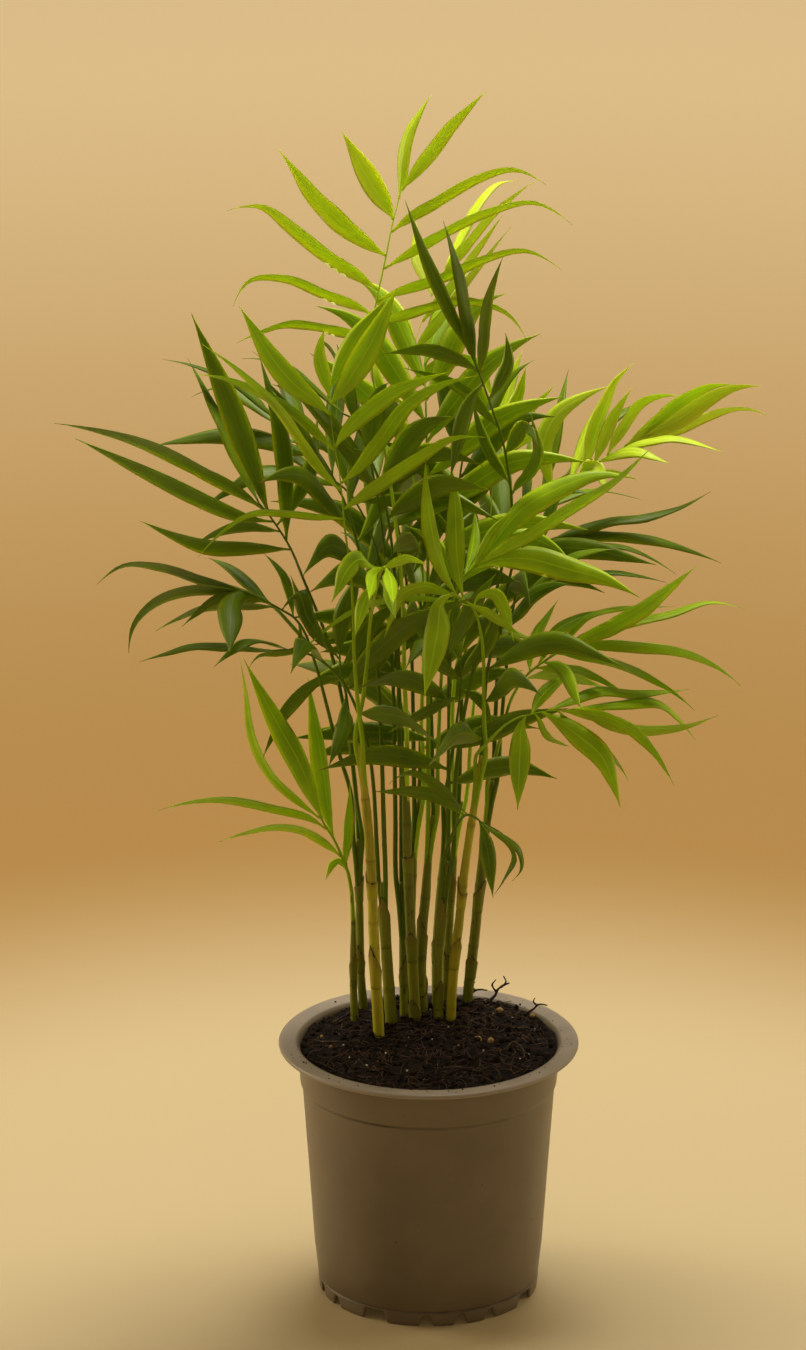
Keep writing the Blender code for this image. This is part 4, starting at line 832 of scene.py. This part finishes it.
def build_bark(chance):
    """Tan and brown bits of bark and seed husk."""
    shape = Shape()
    for x, y, size in TAN_BITS:
        x, y, size = x * CM, y * CM, size * MM
        shape.add(*crumb(Vector((x, y, soil_height(x, y) + size * 0.5)), size, chance))
    paint = plain_paint("bark_bit", (0.16, 0.08, 0.025), (0.42, 0.27, 0.09), 350.0, 0.75)
    shape.make("bark_bits", paint)


# Twigs, short and forked: radius in millimetres, then places across and back and the height
# over the soil, in centimetres.
TWIGS = [
    (0.7, [(2.3, 4.0, 0.0), (2.7, 4.2, 0.35), (2.85, 4.3, 0.65), (3.3, 4.4, 0.8)]),
    (0.5, [(2.78, 4.25, 0.5), (2.6, 4.3, 0.75), (2.75, 4.35, 1.0)]),
    (0.45, [(2.95, 4.32, 0.68), (3.15, 4.3, 0.9), (3.05, 4.3, 1.15)]),
    (0.6, [(1.3, 4.35, 0.0), (1.7, 4.45, 0.25), (2.0, 4.45, 0.5), (2.4, 4.4, 0.45)]),
    (0.4, [(1.9, 4.45, 0.42), (1.8, 4.45, 0.6), (1.9, 4.45, 0.8)]),
    (0.55, [(3.9, 2.9, 0.0), (4.25, 2.8, 0.25), (4.45, 2.7, 0.5), (4.8, 2.5, 0.55)]),
    (0.4, [(4.4, 2.73, 0.45), (4.25, 2.7, 0.6), (4.3, 2.6, 0.85)]),
    (0.5, [(-3.9, 2.2, 0.0), (-3.3, 2.6, 0.35), (-2.9, 3.3, 0.3)]),
    (0.45, [(3.1, -1.2, 0.0), (3.4, -1.0, 0.25), (3.7, -1.3, 0.2), (3.8, -1.9, 0.05)]),
    (0.5, [(-4.3, 0.3, 0.05), (-3.9, -0.1, 0.2), (-3.2, -0.2, 0.05)]),
    (0.4, [(0.6, -3.0, 0.05), (1.3, -3.2, 0.2), (1.9, -2.9, 0.05)]),
]


def build_twigs():
    """Twigs that stick out of the soil, most of them at the back right."""
    shape = Shape()
    for k, (thick, places) in enumerate(TWIGS):
        line = Line([Vector((x * CM, y * CM, soil_height(x * CM, y * CM) + z * CM)) for x, y, z in places])
        points, faces, _ = tube(line, lambda share: thick * MM * (1 - 0.5 * share), 7, 24, 0.35, k)
        shape.add(points, faces)
    paint = plain_paint("twig_bark", (0.018, 0.01, 0.005), (0.07, 0.038, 0.018), 500.0, 0.85)
    shape.make("soil_twigs", paint)


def build_rim_dirt(chance):
    """Specks of peat on the pot's lip."""
    shape = Shape()
    for _ in range(LIP_SPECKS):
        turn, radius = chance.uniform(0, 2 * math.pi), chance.uniform(NECK_RADIUS, RIM_RADIUS - 2 * MM)
        size = 0.16 * MM + 0.4 * MM * chance.random() ** 3
        middle = Vector((radius * math.cos(turn), radius * math.sin(turn), RIM_HEIGHT - 0.4 * MM))
        shape.add(*crumb(middle, size, chance))
    paint = soil_paint("lip_dirt", (0.006, 0.004, 0.0025), (0.05, 0.03, 0.015), 0.9)
    shape.make("lip_dirt", paint)


# Camera, floor and lights.


def floor_paint():
    """Warm paper: pale by the plant, with painted shade a little behind it, and painted light further off,
    as a paler colour and an emission glow.
    """
    paint = Paint("floor_paper", Roughness=0.9)
    paint.shader.inputs["Specular IOR Level"].default_value = 0.1
    where = paint.add("ShaderNodeTexCoord").outputs["Object"]
    away = paint.add("ShaderNodeVectorMath", {0: where}, operation="LENGTH").outputs["Value"]
    tint = paint.noise(paint.place(), 3.0)
    pale = paint.mix(tint, (0.47, 0.395, 0.24), (0.49, 0.41, 0.25))
    # Painted shade: a deeper brown band a little behind the plant.
    colour = paint.mix(paint.span(away, 0.25, 0.55), pale, (0.3, 0.183, 0.062))
    # Painted light: the paper turns paler further off.
    colour = paint.mix(paint.span(away, 0.6, 2.6), colour, (0.68, 0.49, 0.23))
    # Painted light: the floor glows more further off, though it is no lamp.
    glow = paint.mix(paint.span(away, 0.5, 2.9), (0.03, 0.018, 0.006), (0.51, 0.39, 0.21))
    paint.join(glow, paint.shader.inputs["Emission Color"])
    paint.shader.inputs["Emission Strength"].default_value = 1.0
    return paint.finish(colour)


def build_stage():
    """A pale floor with painted shade and painted light on it, under a dim warm sky."""
    bpy.ops.mesh.primitive_plane_add(size=30, location=(0, 0, 0))
    floor = bpy.context.object
    floor.name = "floor"
    floor.data.materials.append(floor_paint())
    world = bpy.data.worlds.new("studio")
    world.use_nodes = True
    back = world.node_tree.nodes["Background"]
    back.inputs["Color"].default_value = (1.0, 0.74, 0.42, 1)
    back.inputs["Strength"].default_value = 0.2
    bpy.context.scene.world = world
    bpy.context.scene.view_settings.view_transform = "Standard"


def add_lamp(name, place, aim, size, power, colour):
    lamp = bpy.data.lights.new(name, "AREA")
    lamp.shape = "DISK"
    lamp.size = size
    lamp.energy = power
    lamp.color = colour
    holder = bpy.data.objects.new(name, lamp)
    holder.location = place
    holder.rotation_euler = (Vector(aim) - Vector(place)).to_track_quat("-Z", "Y").to_euler()
    bpy.context.scene.collection.objects.link(holder)


def build_lights():
    """Soft lamps: a strong one above and behind, one at each side and a weak one in front."""
    white, warm = (1.0, 0.92, 0.78), (1.0, 0.82, 0.56)
    add_lamp("top_lamp", (0.1, 0.5, 1.75), (0, 0, 0.3), 0.9, 34, white)
    add_lamp("left_lamp", (-1.5, 0.45, 0.7), (0, 0, 0.2), 0.8, 13, warm)
    add_lamp("right_lamp", (1.5, 0.5, 0.8), (0, 0, 0.2), 0.8, 7, warm)
    add_lamp("front_lamp", (0.2, -1.8, 1.2), (0, 0, 0.2), 1.2, 1.4, warm)


def build_camera():
    camera = bpy.data.cameras.new("camera")
    camera.lens = CAMERA_LENS
    camera.sensor_width = 36
    camera.clip_start = 0.05
    camera.clip_end = 60
    holder = bpy.data.objects.new("camera", camera)
    holder.location = CAMERA_PLACE
    holder.rotation_euler = (math.pi / 2 - CAMERA_PITCH, 0, CAMERA_YAW)
    bpy.context.scene.collection.objects.link(holder)
    bpy.context.scene.camera = holder


# Canes.


def cane_radius(foot, top, length, start):
    """Radius of a cane by its share, and how near a share is to a ring: 1 at it, 0 off it."""
    spacing = 27 * MM

    def joint(share):
        away = abs((share * length + start) % spacing - spacing / 2)
        return max(0.0, 1 - away / (2 * MM))

    def radius(share):
        left = (1 - share) * length
        taper = 0.35 + 0.65 * min(1.0, left / STALK_ROOT) ** 0.7
        return (foot + (top - foot) * share) * (1 + 0.09 * joint(share) ** 2) * taper

    return radius, joint


def build_cane(node, material):
    """One cane: a slightly uneven tube with a swelling and a dark ring at each node."""
    line, foot, top = read_cane(node)
    line = Line([line.points[0] - UP * 8 * MM] + line.points)
    start = (sum(ord(c) for c in node) % 10) * 2 * MM
    radius, joint = cane_radius(foot, top, line.length, start)
    rings = round(line.length / (1.0 * MM))
    points, faces, shares = tube(line, radius, 14, rings, wobble=0.06, seed=start * 1000)
    ring = [max(0.0, joint(share) * 2 - 1) ** 2 for share in shares]
    shape = Shape()
    shape.add(points, faces, along=shares, ring=ring)
    shape.make(node + "_stem", material, [node])


def seen_height(height, y):
    """The real height of something at depth y that looks this high against the pot's axis."""
    scale = (y - CAMERA_PLACE.y) / -CAMERA_PLACE.y
    return CAMERA_PLACE.z + (height - CAMERA_PLACE.z) * scale


def add_sheath(shape, line, girth, top, length, turned, yellow, chance):
    """A dry sheath end round a cane: a thin shell whose upper edge rises to one point."""
    columns, rows = 24, 12
    lean, deep = math.radians(turned), chance.uniform(0.45, 0.7) * length
    high = next(k / 400 for k in range(401) if line.point(k / 400).z >= top or k == 400)
    corners, edge = [], []
    for skin in (0.28 * MM, 0.08 * MM):
        for k in range(rows + 1):
            for j in range(columns):
                turn = 2 * math.pi * j / columns
                away = abs((turn - lean + math.pi) % (2 * math.pi) - math.pi) / math.pi
                ragged = 0.5 * MM * noise.noise(Vector((math.cos(turn) * 3, math.sin(turn) * 3, top * 90)))
                under = length * (1 - k / rows) + deep * min(1.0, away * 1.6) ** 0.8 * k / rows + ragged
                share = high - under / line.length
                ahead = line.direction(share)
                front = square_to(ahead, Vector((0, -1, 0)))
                right = front.cross(ahead)
                peel = 0.5 * MM * (1 - away) ** 4 * (k / rows) ** 4
                out = girth * (1.0 + 0.03 * k / rows) + skin * (0.2 + 0.8 * k / rows) + peel
                corners.append(line.point(share) + (front * math.cos(turn) + right * math.sin(turn)) * out)
                edge.append(k / rows)
    count = columns * (rows + 1)
    faces = []
    for k in range(rows):
        faces += ring_quads(columns * k, columns * (k + 1), columns)
        faces += ring_quads(count + columns * k, count + columns * (k + 1), columns)
    faces += ring_quads(0, count, columns)
    faces += ring_quads(columns * rows, count + columns * rows, columns)
    shape.add(corners, faces, edge=edge, yellow=yellow)


# Dry sheath ends: cane, the height in centimetres at which the point is seen, length in
# millimetres, and the side of the point in degrees from the front towards the right.
SHEATHS = [
    ("cane_left_edge", 14.3, 13, -20), ("cane_left_back", 14.7, 14, 25), ("cane_left_back", 17.6, 12, -60),
    ("cane_front", 14.6, 20, 30), ("cane_front", 17.9, 14, 160), ("cane_left", 16.8, 24, 10),
    ("cane_middle_left", 14.2, 14, -30), ("cane_tall", 15.2, 14, 5), ("cane_tall", 12.4, 15, 20),
    ("cane_tall", 19.2, 16, 200), ("cane_middle", 16.0, 20, 40), ("cane_middle", 13.2, 14, -140),
    ("cane_low", 16.7, 22, 15), ("cane_low", 13.2, 14, -25), ("cane_yellow", 14.9, 15, -10),
    ("cane_yellow", 17.4, 13, 120), ("cane_right", 14.2, 12, 10), ("cane_right", 17.5, 16, -50),
    ("cane_inner", 15.4, 16, -15), ("cane_back", 15.8, 16, 170), ("cane_back_right", 15.0, 15, 150),
    ("cane_back_right", 17.8, 14, 20),
]
# The canes whose sheaths are yellow, as they are.
YELLOW_SHEATHS = {"cane_front", "cane_yellow"}


def build_sheaths(chance):
    """All the dry sheath ends that still wrap the canes."""
    shape = Shape()
    for node, height, length, turned in SHEATHS:
        line, foot, top = read_cane(node)
        high = seen_height(height * CM, line.point(0.5).y)
        share = min(1.0, (high - line.points[0].z) / (line.points[-1].z - line.points[0].z))
        girth = (foot + (top - foot) * share) * 1.04
        yellow = float(node in YELLOW_SHEATHS)
        add_sheath(shape, line, girth, high, length * MM, turned, yellow, chance)
    shape.make("dry_sheaths", sheath_paint())


def slots_by_node():
    return {row["node"]: row["material_slot"] for row in frame["record"]["subparts"]}


LEAF_PAINTS = {
    "young_leaf": leaf_paint("young_leaf", (0.56, 0.78, 0.03), (0.4, 0.6, 0.02), 0.4, 0.0),
    "bright_leaf": leaf_paint("bright_leaf", (0.36, 0.56, 0.005), (0.16, 0.28, 0.003), 0.4, 0.5),
    "dark_leaf": leaf_paint("dark_leaf", (0.14, 0.225, 0.002), (0.045, 0.09, 0.001), 0.3, 0.9),
}
CANE_PAINTS = {
    "yellow_cane": cane_paint("yellow_cane", (0.46, 0.44, 0.025), (0.38, 0.36, 0.015), (0.06, 0.03, 0.008)),
    "green_cane": cane_paint("green_cane", (0.26, 0.28, 0.02), (0.15, 0.19, 0.01), (0.05, 0.025, 0.008)),
}


def main():
    build_stage()
    build_lights()
    build_camera()
    build_pot()
    build_soil()
    build_crumbs(random.Random(3))
    build_fibres(random.Random(4))
    build_perlite(random.Random(5))
    build_bark(random.Random(6))
    build_twigs()
    build_rim_dirt(random.Random(7))
    build_sheaths(random.Random(8))
    slots = slots_by_node()
    canes = [read_cane(node)[0] for node, slot in slots.items() if slot in CANE_PAINTS]
    for node, slot in slots.items():
        if slot in CANE_PAINTS:
            build_cane(node, CANE_PAINTS[slot])
        if slot in LEAF_PAINTS:
            build_frond(node, LEAF_PAINTS[slot], canes, random.Random(node))


main()
